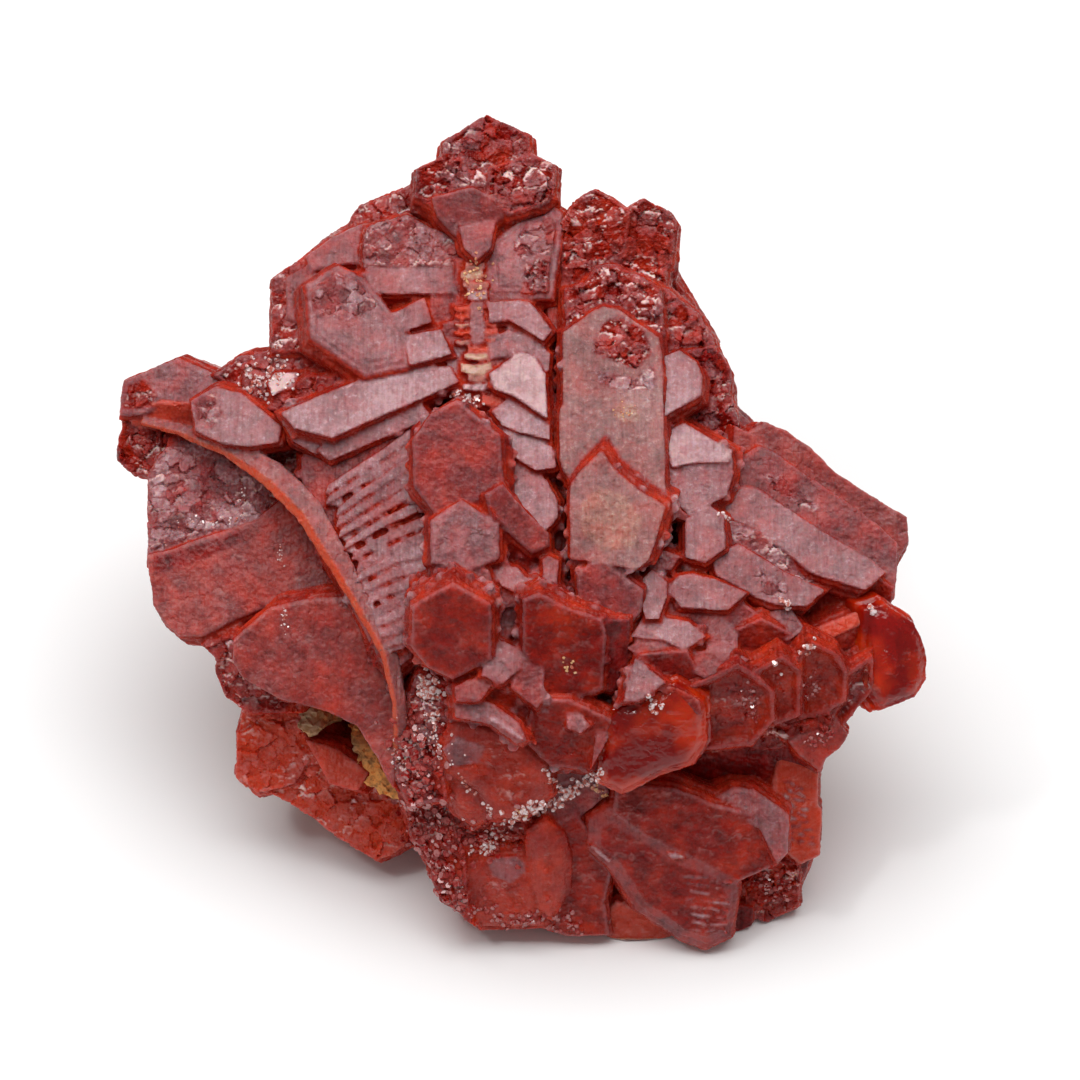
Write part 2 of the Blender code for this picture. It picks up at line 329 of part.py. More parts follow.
RIGHT_BUNDLE = [
    # four long prisms, from the back one forward; their ends turn down to the ridge
    ([(9.35, 4.9), (9.8, 4.65), (10.6, 5.1), (11.5, 4.75), (12.4, 4.1), (13.6, 2.95), (15.0, 2.0), (16.7, 1.0),
      (16.8, 0.0), (16.3, -0.9), (12.0, 0.8), (9.2, 2.9)],
     -0.3, (-0.04, -0.05), (-2.6, -1.6, -4.0)),
    ([(9.3, 3.5), (10.3, 4.05), (10.8, 3.85), (14.8, 1.15), (16.3, -0.1), (16.2, -2.0), (15.2, -1.0),
      (12.0, 0.9), (9.6, 1.8)],
     0.3, (-0.05, -0.25), (-2.6, -1.0, -4.0)),
    ([(8.8, 1.5), (9.5, 2.25), (10.1, 2.25), (12.9, 0.4), (15.1, -0.9), (15.7, -1.4), (14.9, -2.1),
      (12.6, -1.4), (11.2, -0.2), (8.9, 0.9)],
     0.7, (-0.06, -0.46), (-2.4, -0.6, -4.0)),
    ([(8.8, 1.0), (10.3, 0.3), (12.0, -0.7), (13.2, -1.6), (12.4, -2.0), (9.6, -0.6), (8.8, 0.0)],
     0.5, (-0.05, -0.15), (-2.0, -0.4, -3.6)),
    ([(8.3, -0.95), (8.6, -0.6), (9.4, -0.25), (11.5, -1.5), (13.05, -2.2), (12.4, -2.8), (11.0, -2.75),
      (10.3, -2.5), (8.5, -1.5)],
     1.1, (-0.06, -0.46), (-1.6, -0.4, -3.6)),
    ([(11.7, -3.0), (12.6, -2.1), (13.6, -1.7), (15.2, -1.5), (16.15, -2.1), (15.95, -3.05), (15.0, -3.1),
      (12.8, -4.1)],
     0.2, (0.0, 0.5), (-2.6, 0.6, -4.0)),
    ([(12.4, -4.1), (13.0, -3.8), (15.2, -2.85), (15.6, -3.2), (13.2, -4.4), (12.6, -4.5)],
     0.8, (0.0, -0.2), (-2.0, 0.8, -3.5)),
    ([(13.0, -4.2), (14.4, -3.7), (15.3, -3.2), (15.3, -5.3), (14.1, -6.1), (13.8, -5.0)],
     0.3, (-0.3, 0.5), (-2.6, 1.0, -3.5)),
]

HANGING_CRYSTAL = [
    ([(15.2, -3.3), (15.9, -3.1), (17.1, -3.9), (17.5, -4.8), (17.55, -6.1), (17.1, -6.8), (15.7, -7.35),
      (15.2, -6.5), (15.0, -5.0)],
     0.9, (-0.15, 0.3), (-2.0, 1.2, -3.0)),
    ([(15.5, -3.2), (15.95, -3.05), (17.1, -3.85), (17.5, -4.7), (17.2, -4.6), (16.4, -3.8)],
     1.0, (-0.1, -0.4), (-1.6, 0.4, -2.0)),
]

FRONT_ROW = [
    # the bed, then the cells from the left
    ([(7.5, -6.6), (9.3, -5.7), (10.2, -5.8), (11.2, -5.3), (12.6, -4.8), (13.8, -5.3), (15.1, -5.6),
      (15.1, -6.5), (13.8, -8.0), (13.0, -8.6), (11.4, -9.0), (8.0, -9.2), (7.8, -8.0)],
     -0.9, (-0.05, 0.6), (-1.0, 1.0, -4.6)),
    ([(7.3, -6.4), (8.4, -5.95), (9.35, -5.45), (10.2, -6.0), (10.85, -6.6), (10.9, -7.8), (9.9, -8.9),
      (7.8, -9.1), (7.75, -7.4)],
     0.6, (-0.1, 0.75), (-0.4, 1.2, -3.8)),
    ([(10.1, -5.75), (11.25, -5.1), (12.05, -5.7), (12.0, -7.6), (11.0, -8.0), (10.6, -6.6)],
     0.6, (-0.1, 0.75), (-0.6, 1.2, -3.8)),
    ([(12.0, -5.1), (12.6, -4.5), (13.6, -4.95), (14.05, -5.7), (14.0, -7.0), (13.3, -7.4), (12.1, -7.8)],
     0.5, (-0.05, 0.75), (-0.8, 1.2, -3.8)),
    ([(14.0, -5.9), (15.2, -5.1), (15.25, -6.5), (14.6, -7.2), (13.9, -8.1), (13.4, -7.6), (14.0, -6.9)],
     -0.1, (-0.3, 0.7), (-1.4, 1.2, -3.4)),
    ([(10.6, -8.2), (13.3, -7.55), (13.5, -8.2), (11.6, -9.0), (10.5, -9.1)],
     -0.3, (0.0, 0.9), (-0.6, 1.0, -3.4)),
    ([(11.6, -8.8), (12.2, -8.5), (13.4, -8.1), (13.6, -7.8), (14.1, -8.5), (13.75, -9.1), (13.2, -9.5),
      (12.9, -10.0), (12.1, -9.4)],
     0.2, (0.0, 0.3), (-1.2, 1.4, -3.4)),
    # the dark hollow below the row
    ([(7.6, -8.8), (11.0, -8.7), (13.1, -8.6), (12.8, -10.1), (12.3, -11.6), (8.2, -11.4), (5.6, -10.4)],
     -1.2, (0.0, 0.8), (-0.6, 1.2, -4.0)),
]

FRONT_TONGUE = [
    ([(4.3, -7.65), (5.2, -7.2), (6.6, -6.6), (7.7, -7.25), (7.8, -8.9), (7.2, -9.8), (5.9, -10.2), (4.3, -11.0),
      (3.4, -10.6), (3.45, -9.6), (4.0, -8.0)],
     1.7, (0.0, 0.45), (0.2, 1.6, -4.0)),
]

LOWER_RIGHT_PRISMS = [
    # the bed
    ([(3.9, -11.2), (8.0, -10.8), (11.4, -9.6), (12.7, -10.3), (12.6, -13.6), (11.8, -15.6), (9.6, -16.4), (6.4, -17.2),
      (3.6, -17.0), (3.2, -14.0)],
     -1.4, (-0.05, 0.62), (-0.6, 1.6, -4.6)),
    ([(4.1, -11.0), (5.0, -10.75), (6.5, -10.85), (8.4, -11.6), (10.0, -12.0), (11.3, -13.5), (11.0, -14.1),
      (9.3, -14.85), (7.1, -13.7), (5.4, -12.9), (4.0, -11.9)],
     0.8, (-0.05, 0.5), (-0.8, 1.8, -4.2)),
    ([(8.2, -11.4), (9.2, -10.85), (10.1, -10.95), (11.5, -12.0), (11.5, -13.6), (11.1, -14.0), (10.4, -12.6),
      (9.2, -11.8), (8.5, -11.8)],
     1.0, (-0.05, -0.1), (-0.8, 1.4, -3.6)),
    ([(2.95, -12.3), (3.8, -11.8), (5.0, -12.5), (6.9, -13.65), (8.6, -14.3), (9.25, -14.9), (9.25, -15.7),
      (9.0, -17.3), (8.0, -17.8), (6.9, -17.4), (5.0, -16.1), (3.9, -14.4), (2.9, -13.5)],
     1.0, (0.0, 0.55), (-0.6, 2.0, -4.0)),
    ([(9.2, -14.9), (11.2, -14.05), (12.0, -14.1), (12.0, -15.95), (10.6, -16.65), (9.95, -16.3), (9.2, -16.0)],
     -0.4, (-0.1, 0.7), (-1.0, 2.0, -3.6)),
    ([(8.9, -15.9), (10.0, -16.0), (9.95, -16.8), (9.0, -17.15)],
     -0.2, (0.0, 0.7), (-0.6, 1.6, -3.0)),
    ([(11.1, -9.4), (11.6, -9.2), (12.85, -10.2), (12.8, -11.6), (13.0, -11.8), (12.9, -13.7), (12.1, -14.1),
      (11.3, -13.4), (10.9, -12.0)],
     -0.3, (-0.1, 0.4), (-1.6, 1.6, -3.6)),
    ([(3.6, -17.2), (4.4, -17.8), (5.2, -17.7), (6.5, -17.2), (5.4, -16.2), (4.1, -15.8), (3.4, -16.4)],
     -0.3, (0.0, 0.7), (0.0, 2.0, -3.0)),
]

FRONT_BALL = [
    # the bed
    ([(-5.5, -8.4), (-4.6, -5.9), (-3.1, -6.4), (-2.9, -7.8), (-1.5, -8.1), (1.2, -10.0), (3.2, -10.2),
      (3.8, -11.2), (3.1, -13.8), (3.5, -16.6), (-1.8, -16.5), (-4.0, -14.2), (-4.9, -12.4), (-5.4, -10.6)],
     -1.2, (0.1, 0.55), (0.2, 1.6, -4.6)),
    # crackled flanks
    ([(-5.5, -8.7), (-5.0, -6.8), (-4.5, -5.9), (-3.1, -6.3), (-2.9, -7.9), (-3.6, -9.3), (-3.4, -11.3),
      (-4.9, -11.6), (-5.55, -10.5)],
     0.2, (0.5, 0.25), (0.4, 1.0, -3.6)),
    ([(-4.95, -11.5), (-3.4, -11.2), (-2.6, -13.9), (-2.3, -16.7), (-3.0, -16.0), (-3.5, -15.8), (-4.0, -14.6),
      (-3.95, -14.2), (-4.6, -13.5), (-4.9, -12.8)],
     0.3, (0.6, 0.4), (0.8, 1.6, -3.6)),
    # the dome and the lens under it
    ([(-3.6, -9.2), (-3.0, -8.1), (-2.0, -7.9), (-0.6, -8.3), (0.9, -9.8), (1.1, -11.2), (0.0, -12.2),
      (-1.3, -12.2), (-2.0, -11.0), (-3.3, -10.3)],
     1.1, (0.05, 0.5), (0.1, 1.4, -4.0)),
    ([(-3.15, -10.4), (-2.3, -10.6), (-1.6, -11.3), (-1.3, -12.2), (-2.2, -12.6), (-3.1, -11.8)],
     0.9, (0.1, 0.6), (0.2, 1.4, -3.6)),
    ([(-3.2, -12.2), (-1.4, -12.3), (0.6, -12.5), (0.4, -13.8), (-2.4, -14.4), (-3.3, -13.6)],
     0.2, (0.1, 0.5), (0.2, 1.4, -3.4)),
    # the lowest ball, its oval neighbour and the slab beside them
    ([(-2.5, -14.3), (-1.5, -13.8), (0.1, -13.6), (0.9, -14.8), (0.75, -16.2), (0.95, -16.9), (-1.8, -16.95),
      (-2.6, -16.3)],
     0.8, (0.05, 0.6), (0.1, 2.0, -3.6)),
    ([(0.3, -12.9), (0.9, -12.5), (1.6, -13.0), (1.9, -13.8), (1.9, -15.3), (1.2, -16.5), (0.7, -16.3),
      (0.3, -14.6)],
     1.1, (-0.1, 0.6), (0.0, 2.0, -3.6)),
    ([(1.3, -12.5), (2.3, -12.0), (2.9, -12.8), (3.0, -13.7), (3.8, -14.4), (3.5, -15.8), (3.7, -17.2),
      (1.95, -17.2), (0.95, -16.9), (1.8, -15.5), (1.9, -13.9)],
     0.3, (0.0, 0.62), (0.0, 2.0, -3.6)),
    ([(0.8, -9.9), (3.2, -10.0), (3.7, -11.0), (2.4, -12.1), (1.3, -12.4), (0.5, -11.8)],
     -0.1, (0.0, 0.55), (0.0, 1.4, -3.4)),
]

# Rear crystals: root (x, y, z), the bearing and the rise of the axis in degrees, radius, length
# each cluster begins with the wide, thin plate that its crystals stand on
BACK_LEFT_CRYSTALS = [
    (-7.0, 4.6, 9.0, 148, 8, 6.4, 1.8),
    (-7.8, 4.5, 11.0, 150, 18, 2.4, 4.6), (-8.8, 2.0, 8.2, 172, 4, 2.2, 3.6),
    (-6.4, 7.2, 9.0, 128, 8, 2.5, 4.4), (-8.0, 4.8, 6.0, 150, -8, 2.1, 3.8),
    (-5.8, 7.4, 13.4, 122, 34, 2.2, 3.6), (-9.2, -0.4, 11.0, 186, 10, 1.9, 3.4),
    (-8.4, 0.2, 5.2, 188, -6, 2.0, 3.0), (-6.0, 7.6, 5.2, 126, -8, 2.0, 3.4),
]
BACK_MIDDLE_CRYSTALS = [
    (-0.2, 9.0, 10.6, 90, 12, 6.0, 1.6),
    (-2.4, 8.6, 14.6, 96, 28, 2.5, 3.9), (1.8, 8.6, 14.0, 84, 24, 2.3, 3.9),
    (-0.4, 9.2, 10.4, 92, 6, 2.6, 3.6), (-3.6, 8.8, 10.6, 108, 8, 2.0, 3.4),
    (3.0, 8.6, 9.8, 74, 4, 2.1, 3.5), (-2.0, 9.2, 6.6, 98, -8, 2.1, 3.2),
    (1.6, 9.0, 6.2, 82, -6, 1.9, 3.2),
]
BACK_RIGHT_CRYSTALS = [
    (7.4, 3.2, 8.4, 36, 6, 5.8, 2.9),
    (7.2, 4.4, 10.6, 48, 14, 2.4, 4.0), (6.2, 6.8, 8.4, 60, 2, 2.2, 3.8),
    (8.8, 1.2, 9.4, 22, 8, 2.3, 4.2), (8.0, 4.2, 5.8, 42, -6, 2.0, 3.4),
    (9.6, -1.8, 10.4, 4, 12, 2.0, 4.4), (9.2, 0.4, 5.0, 12, -6, 1.9, 3.2),
    (6.4, 6.2, 4.8, 58, -8, 1.8, 3.0),
]
REAR_ROOT = 3.0                   # length of a rear crystal behind its root point
TIP_LENGTH = 0.35                 # length of a rear crystal's blunt point, as a share of its radius
TIP_WIDTH = 0.62                  # width of its end face, as a share of its radius

# The rock: for each level its height, and the centre and half width of its outline both ways
ROCK_LEVELS = [
    (0.0, (0.4, -0.1), (9.0, 9.4)),
    (1.2, (0.4, -0.1), (9.8, 10.0)),
    (4.0, (0.4, 0.1), (10.2, 10.4)),
    (7.5, (0.3, 0.8), (9.9, 9.6)),
    (10.5, (0.2, 2.1), (9.2, 8.0)),
    (13.0, (0.2, 4.2), (7.6, 5.4)),
    (15.4, (0.0, 6.0), (5.4, 3.2)),
]
ROCK_SIDES = 14
ROCK_UNEVEN = 0.056               # scatter of its half widths, as a share
ROCK_LIFT = 0.225                 # scatter of its levels' heights
ROCK_SEED = 7
# Ochre rock that shows between the left wing and the plate below it
ROCK_LUMPS = [
    ([(-9.9, -7.3), (-8.9, -7.2), (-8.7, -8.2), (-9.4, -8.6), (-9.9, -8.2)],
     -3.4, (0.1, -0.3), (2.0, 1.0, -3.0)),
    ([(-7.7, -8.0), (-6.9, -8.2), (-6.3, -9.4), (-5.7, -10.6), (-5.1, -10.9), (-5.0, -11.6), (-6.0, -11.2),
      (-7.4, -10.4), (-8.3, -10.2), (-7.3, -9.6)],
     -2.6, (0.1, -0.3), (2.0, 1.0, -3.0)),
]

COLOURS = {
    "matrix": ((0.46, 0.29, 0.12), 0.9),
    "crown_crystal": ((0.35, 0.03, 0.02), 0.35),
    "upper_left_fan": ((0.38, 0.05, 0.04), 0.35),
    "ribbed_face": ((0.33, 0.06, 0.05), 0.45),
    "left_wing": ((0.34, 0.05, 0.03), 0.45),
    "lower_left_plate": ((0.26, 0.02, 0.02), 0.4),
    "middle_crystals": ((0.4, 0.03, 0.02), 0.3),
    "right_column": ((0.44, 0.12, 0.08), 0.35),
    "right_shoulder": ((0.42, 0.09, 0.08), 0.35),
    "right_bundle": ((0.38, 0.06, 0.05), 0.35),
    "hanging_crystal": ((0.6, 0.04, 0.01), 0.25),
    "front_row": ((0.32, 0.03, 0.02), 0.35),
    "front_tongue": ((0.6, 0.05, 0.01), 0.25),
    "lower_right_prisms": ((0.36, 0.03, 0.02), 0.35),
    "front_ball": ((0.38, 0.03, 0.02), 0.35),
    "back_left_crystals": ((0.32, 0.03, 0.02), 0.4),
    "back_middle_crystals": ((0.32, 0.03, 0.02), 0.4),
    "back_right_crystals": ((0.32, 0.03, 0.02), 0.4),
}


# The sheet


def relief(a, b):
    """Lift of the crust's general surface at a point of the sheet."""
    if b < RIDGE:
        along = RIDGE_LIFT + WALL_RISE * (b - RIDGE)
    else:
        along = RIDGE_LIFT - ROOF_FALL * (b - RIDGE)
    fall = LEFT_FALL if a < CREST else RIGHT_FALL
    return along - fall * (a - CREST) ** 2


def from_sheet(a, b, lift):
    """The model-space point, in metres, of a sheet point at a given lift."""
    narrowing = 1 - lift / MEETING_DISTANCE
    right = MEETING_SIDE + (a - MEETING_SIDE) * narrowing
    up = b * narrowing
    return Vector((
        SHEET_SIDE + right,
        SHEET_BACK + up * math.sin(SHEET_LEAN) - lift * math.cos(SHEET_LEAN),
        SHEET_HEIGHT + up * math.cos(SHEET_LEAN) + lift * math.sin(SHEET_LEAN),
    )) * MM


# Outlines


def signed_area(outline):
    pairs = zip(outline, outline[1:] + outline[:1])
    return sum(p[0] * q[1] - q[0] * p[1] for p, q in pairs) / 2


def widened(outline, margin):
    """The outline with every side moved out by the margin; corners stay corners."""
    turned = outline if signed_area(outline) > 0 else outline[::-1]
    result = []
    for before, here, after in zip(turned[-1:] + turned[:-1], turned, turned[1:] + turned[:1]):
        first = Vector((here[1] - before[1], before[0] - here[0])).normalized()
        second = Vector((after[1] - here[1], here[0] - after[0])).normalized()
        reach = margin / max(0.35, 1 + first.dot(second))
        result.append((here[0] + reach * (first.x + second.x), here[1] + reach * (first.y + second.y)))
    return result


def centre(outline):
    return (sum(p[0] for p in outline) / len(outline), sum(p[1] for p in outline) / len(outline))


# Solids


def closed_solid(rings):
    """A bmesh through rings of points, closed by a face at each end, with its faces outwards."""
    mesh = bmesh.new()
    loops = [[mesh.verts.new(point) for point in ring] for ring in rings]
    count = len(rings[0])
    for lower, upper in zip(loops, loops[1:]):
        for i in range(count):
            j = (i + 1) % count
            mesh.faces.new((lower[i], lower[j], upper[j], upper[i]))
    mesh.faces.new(loops[0][::-1])
    mesh.faces.new(loops[-1])
    bmesh.ops.recalc_face_normals(mesh, faces=mesh.faces)
    return mesh


def warped_solid(rings):
    """A closed solid whose sides aren't flat: it and its grown copy are folded the same way."""
    mesh = closed_solid(rings)
    bmesh.ops.triangulate(mesh, faces=mesh.faces, quad_method="FIXED")
    return mesh


def crystal(entry, margin=0.0):
    """One crystal of the front tables, its sides and ends moved out by the margin."""
    outline, proud, slope, root = entry
    middle = centre(outline)
    lift = relief(*middle) + proud
    face = widened(outline, margin)

    def point(a, b, deep):
        raised = lift + slope[0] * (a - middle[0]) + slope[1] * (b - middle[1])
        if deep:
            return from_sheet(a + root[0], b + root[1], raised + root[2] - margin)
        return from_sheet(a, b, raised + margin)

    rings = [[point(a, b, deep) for a, b in face] for deep in (True, False)]
    return closed_solid(rings)


def rear_crystal(entry, margin=0.0):
    """One rear crystal: a hexagonal prism with a blunt point."""
    x, y, z, bearing, rise, radius, length = entry
    bearing, rise = math.radians(bearing), math.radians(rise)
    axis = Vector((math.cos(bearing) * math.cos(rise), math.sin(bearing) * math.cos(rise), math.sin(rise)))
    side = axis.cross(Vector((0, 0, 1))).normalized()
    up = side.cross(axis)
    base = Vector((x, y, z))
    tip = TIP_LENGTH * radius
    stations = (
        (-REAR_ROOT - margin, radius + margin),
        (length - tip, radius + margin),
        (length + margin, TIP_WIDTH * radius + margin),
    )
    turns = [math.radians(60 * i + 30) for i in range(6)]
    rings = []
    for distance, width in stations:
        ring = [base + axis * distance + (side * math.cos(t) + up * math.sin(t)) * width for t in turns]
        rings.append([point * MM for point in ring])
    return closed_solid(rings)


def along_line(first, last, share):
    return tuple(p + share * (q - p) for p, q in zip(first, last))


def rib_entries():
    """The comb's slabs, evenly spread between the first rib and the last."""
    ribs = []
    for i in range(RIB_COUNT):
        share = i / (RIB_COUNT - 1)
        left = along_line(RIB_FIRST[0], RIB_LAST[0], share)
        right = along_line(RIB_FIRST[1], RIB_LAST[1], share)
        bulge = RIB_BULGE * max(0.0, math.sin(math.pi * (share - RIB_BULGE_START) / RIB_BULGE_LENGTH))
        half = RIB_WIDTH / 2
        corners = [(left[0], left[1] - half), (right[0] + bulge, right[1] - half),
                   (right[0] + bulge, right[1] + half), (left[0] + RIB_SLANT, left[1] + half)]
        ribs.append((corners, RIB_PROUD, RIB_SLOPE, RIB_ROOT))
    return ribs


def curled_ridge(margin=0.0):
    """The blade that curls over the left wing's plates, as one closed strip."""
    rings = []
    last = len(RIDGE_LINE) - 1
    for i, ((a, b), width) in enumerate(zip(RIDGE_LINE, RIDGE_WIDTHS)):
        before = RIDGE_LINE[max(i - 1, 0)]
        after = RIDGE_LINE[min(i + 1, last)]
        along = Vector((after[0] - before[0], after[1] - before[1])).normalized()
        across = Vector((-along.y, along.x))
        swell = math.sin(math.pi * min(1.0, RIDGE_START + RIDGE_SPREAD * i / last))
        crest = relief(a, b) + RIDGE_STANDS * swell - RIDGE_SINKS
        # (distance across, drop from the crest): lower lip, crest, upper lip, then the root
        section = (
            (-margin, RIDGE_LIP),
            (0.3 * width, -margin),
            (width + margin, 1.4 * RIDGE_LIP),
            (width + margin, RIDGE_DEPTH),
            (RIDGE_UNDERCUT - margin, RIDGE_DEPTH + margin),
        )
        rings.append([from_sheet(a + across.x * reach, b + across.y * reach, crest - drop)
                      for reach, drop in section])
    return warped_solid(rings)


def floor_slab():
    """A slab whose top is the level at which the crystals stop above the floor."""
    corners = [(-FLOOR_REACH, -FLOOR_REACH), (FLOOR_REACH, -FLOOR_REACH), (FLOOR_REACH, FLOOR_REACH),
               (-FLOOR_REACH, FLOOR_REACH)]
    levels = (FLOOR_CLEARANCE - FLOOR_REACH, FLOOR_CLEARANCE)
    return closed_solid([[Vector((x, y, z)) * MM for x, y in corners] for z in levels])


def rock(margin=0.0):
    """The rock lump: an uneven stack of outlines, level underneath."""
    dice = random.Random(ROCK_SEED)
    rings = []
    for height, (x, y), (half_width, half_depth) in ROCK_LEVELS:
        ring = []
        for i in range(ROCK_SIDES):
            turn = 2 * math.pi * i / ROCK_SIDES
            uneven = 1 + dice.uniform(-ROCK_UNEVEN, ROCK_UNEVEN)
            lifted = height + (dice.uniform(-ROCK_LIFT, ROCK_LIFT) if height else 0.0)
            ring.append(Vector((
                x + (half_width * uneven + margin) * math.cos(turn),
                y + (half_depth * uneven + margin) * math.sin(turn),
                lifted,
            )) * MM)
        rings.append(ring)
    rings[-1] = [point + Vector((0, 0, margin * MM)) for point in rings[-1]]
    return warped_solid(rings)


# Joining and cutting


def helper_object(name, mesh, collection):
    data = bpy.data.meshes.new(name)
    mesh.to_mesh(data)
    mesh.free()
    helper = bpy.data.objects.new(name, data)
    helper.hide_render = True
    helper.display_type = "WIRE"
    collection.objects.link(helper)
    return helper


def new_collection(name):
    collection = bpy.data.collections.new(name)
    bpy.context.scene.collection.children.link(collection)
    return collection


def boolean(target, operation, collection):
    """Joins or cuts with a whole collection. EXACT leaves open edges on this many grazing faces."""
    modifier = target.modifiers.new(operation.lower(), "BOOLEAN")
    modifier.operation = operation
    modifier.operand_type = "COLLECTION"
    modifier.collection = collection
    modifier.solver = "MANIFOLD"


def volume_of(faces):
    """Signed volume in cubic millimetres inside a set of triangles."""
    total = 0.0
    for face in faces:
        p, q, r = (v.co / MM for v in face.verts)
        total += p.dot(q.cross(r)) / 6
    return total


def islands(mesh):
    """The mesh's separate bodies, as lists of faces."""
    left = set(mesh.faces)
    found = []
    while left:
        stack = [left.pop()]
        body = []
        while stack:
            face = stack.pop()
            body.append(face)
            for edge in face.edges:
                for other in edge.link_faces:
                    if other in left:
                        left.remove(other)
                        stack.append(other)
        found.append(body)
    return found


def keep_main_body(mesh):
    """Drops the offcuts that a parting leaves loose, so one closed body is left."""
    bodies = sorted(islands(mesh), key=volume_of, reverse=True)
    for body in bodies[1:]:
        bmesh.ops.delete(mesh, geom=body, context="FACES")


def tidied(obj):
    """The object's evaluated mesh in triangles, with no doubled points and no offcuts."""
    depsgraph = bpy.context.evaluated_depsgraph_get()
    data = bpy.data.meshes.new_from_object(obj.evaluated_get(depsgraph))
    mesh = bmesh.new()
    mesh.from_mesh(data)
    bmesh.ops.dissolve_degenerate(mesh, edges=mesh.edges, dist=MERGE * MM)
    loose = [edge for edge in mesh.edges if edge.is_wire]
    bmesh.ops.delete(mesh, geom=loose, context="EDGES")
    spare = [point for point in mesh.verts if len(point.link_edges) == 2]
    bmesh.ops.dissolve_verts(mesh, verts=spare)
    bmesh.ops.triangulate(mesh, faces=mesh.faces)
    keep_main_body(mesh)
    mesh.to_mesh(data)
    mesh.free()
    return data


def finish(name):
    (colour, roughness) = COLOURS[name]
    material = bpy.data.materials.new(name)
    material.use_nodes = True
    shader = material.node_tree.nodes["Principled BSDF"]
    shader.inputs["Base Color"].default_value = (*colour, 1.0)
    shader.inputs["Roughness"].default_value = roughness
    shader.inputs["Metallic"].default_value = 0.0
    return material


CLUSTERS = {
    "hanging_crystal": (HANGING_CRYSTAL, crystal),
    "front_tongue": (FRONT_TONGUE, crystal),
    "middle_crystals": (MIDDLE_CRYSTALS, crystal),
    "crown_crystal": (CROWN_CRYSTAL, crystal),
    "right_column": (RIGHT_COLUMN, crystal),
    "right_shoulder": (RIGHT_SHOULDER, crystal),
    "right_bundle": (RIGHT_BUNDLE, crystal),
    "front_row": (FRONT_ROW, crystal),
    "lower_right_prisms": (LOWER_RIGHT_PRISMS, crystal),
    "front_ball": (FRONT_BALL, crystal),
    "upper_left_fan": (UPPER_LEFT_FAN, crystal),
    "left_wing": (LEFT_WING, crystal),
    "ribbed_face": (RIBBED_FACE, crystal),
    "lower_left_plate": (LOWER_LEFT_PLATE, crystal),
    "back_middle_crystals": (BACK_MIDDLE_CRYSTALS, rear_crystal),
    "back_left_crystals": (BACK_LEFT_CRYSTALS, rear_crystal),
    "back_right_crystals": (BACK_RIGHT_CRYSTALS, rear_crystal),
}


def solids_of(name, margin=0.0):
    entries, make = CLUSTERS[name]
    solids = [make(entry, margin) for entry in entries]
    if name == "ribbed_face":
        solids += [crystal(entry, margin) for entry in rib_entries()]
    if name == "left_wing":
        solids.append(curled_ridge(margin))
    return solids


def named(name, data):
    """Gives a mesh its name and finish, and puts it on an object that is not linked yet."""
    data.name = name
    data.materials.clear()
    data.materials.append(finish(name))
    return bpy.data.objects.new(name, data)


def cluster(name, cuts, scene):
    """One cluster of crystals, less what the collection of cuts takes away."""
    first, *others = solids_of(name)
    target = helper_object(name + "_first", first, scene)
    if others:
        joined = new_collection(name + "_crystals")
        for i, solid in enumerate(others):
            helper_object(f"{name}_{i}", solid, joined)
        boolean(target, "UNION", joined)
    boolean(target, "DIFFERENCE", cuts)
    return named(name, tidied(target))


def matrix(scene):
    """The rock with its ochre lumps."""
    target = helper_object("rock", rock(), scene)
    lumps = new_collection("rock_lumps")
    for i, lump in enumerate(ROCK_LUMPS):
        helper_object(f"lump_{i}", crystal(lump), lumps)
    boolean(target, "UNION", lumps)
    return named("matrix", tidied(target))


def build():
    for obj in list(bpy.data.objects):
        bpy.data.objects.remove(obj, do_unlink=True)
    scene = bpy.context.scene.collection
    cuts = new_collection("cuts")
    helper_object("floor_cut", floor_slab(), cuts)
    helper_object("rock_cut", rock(PARTING), cuts)
    for i, lump in enumerate(ROCK_LUMPS):
        helper_object(f"lump_cut_{i}", crystal(lump, PARTING), cuts)
    nodes = []
    for name in CLUSTERS:
        nodes.append(cluster(name, cuts, scene))
        for i, solid in enumerate(solids_of(name, PARTING)):
            helper_object(f"{name}_cut_{i}", solid, cuts)
    nodes.append(matrix(scene))
    for obj in list(bpy.data.objects):
        if obj not in nodes:
            bpy.data.objects.remove(obj, do_unlink=True)
    for node in nodes:
        scene.objects.link(node)


build()
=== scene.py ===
"""Vanadinite on matrix: the look of the specimen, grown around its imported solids.

The crystals at the front are laid out on a sheet that leans back over the specimen. A point of
the sheet is (a, b): a to the right and b up the sheet, in millimetres. A third number, the lift,
is the height above the sheet. The crystals at the rear are placed in the model's own axes.

Each cluster is made of its single crystals, with the edges and steps that they grow, and then
grown together by a voxel remesh. A node tree crumples the faces that need it.
"""

import json
import math
import random
from collections import namedtuple

import bmesh
import bpy
from bpy.props import FloatProperty, FloatVectorProperty, PointerProperty
from mathutils import Matrix, Vector
from mathutils.bvhtree import BVHTree

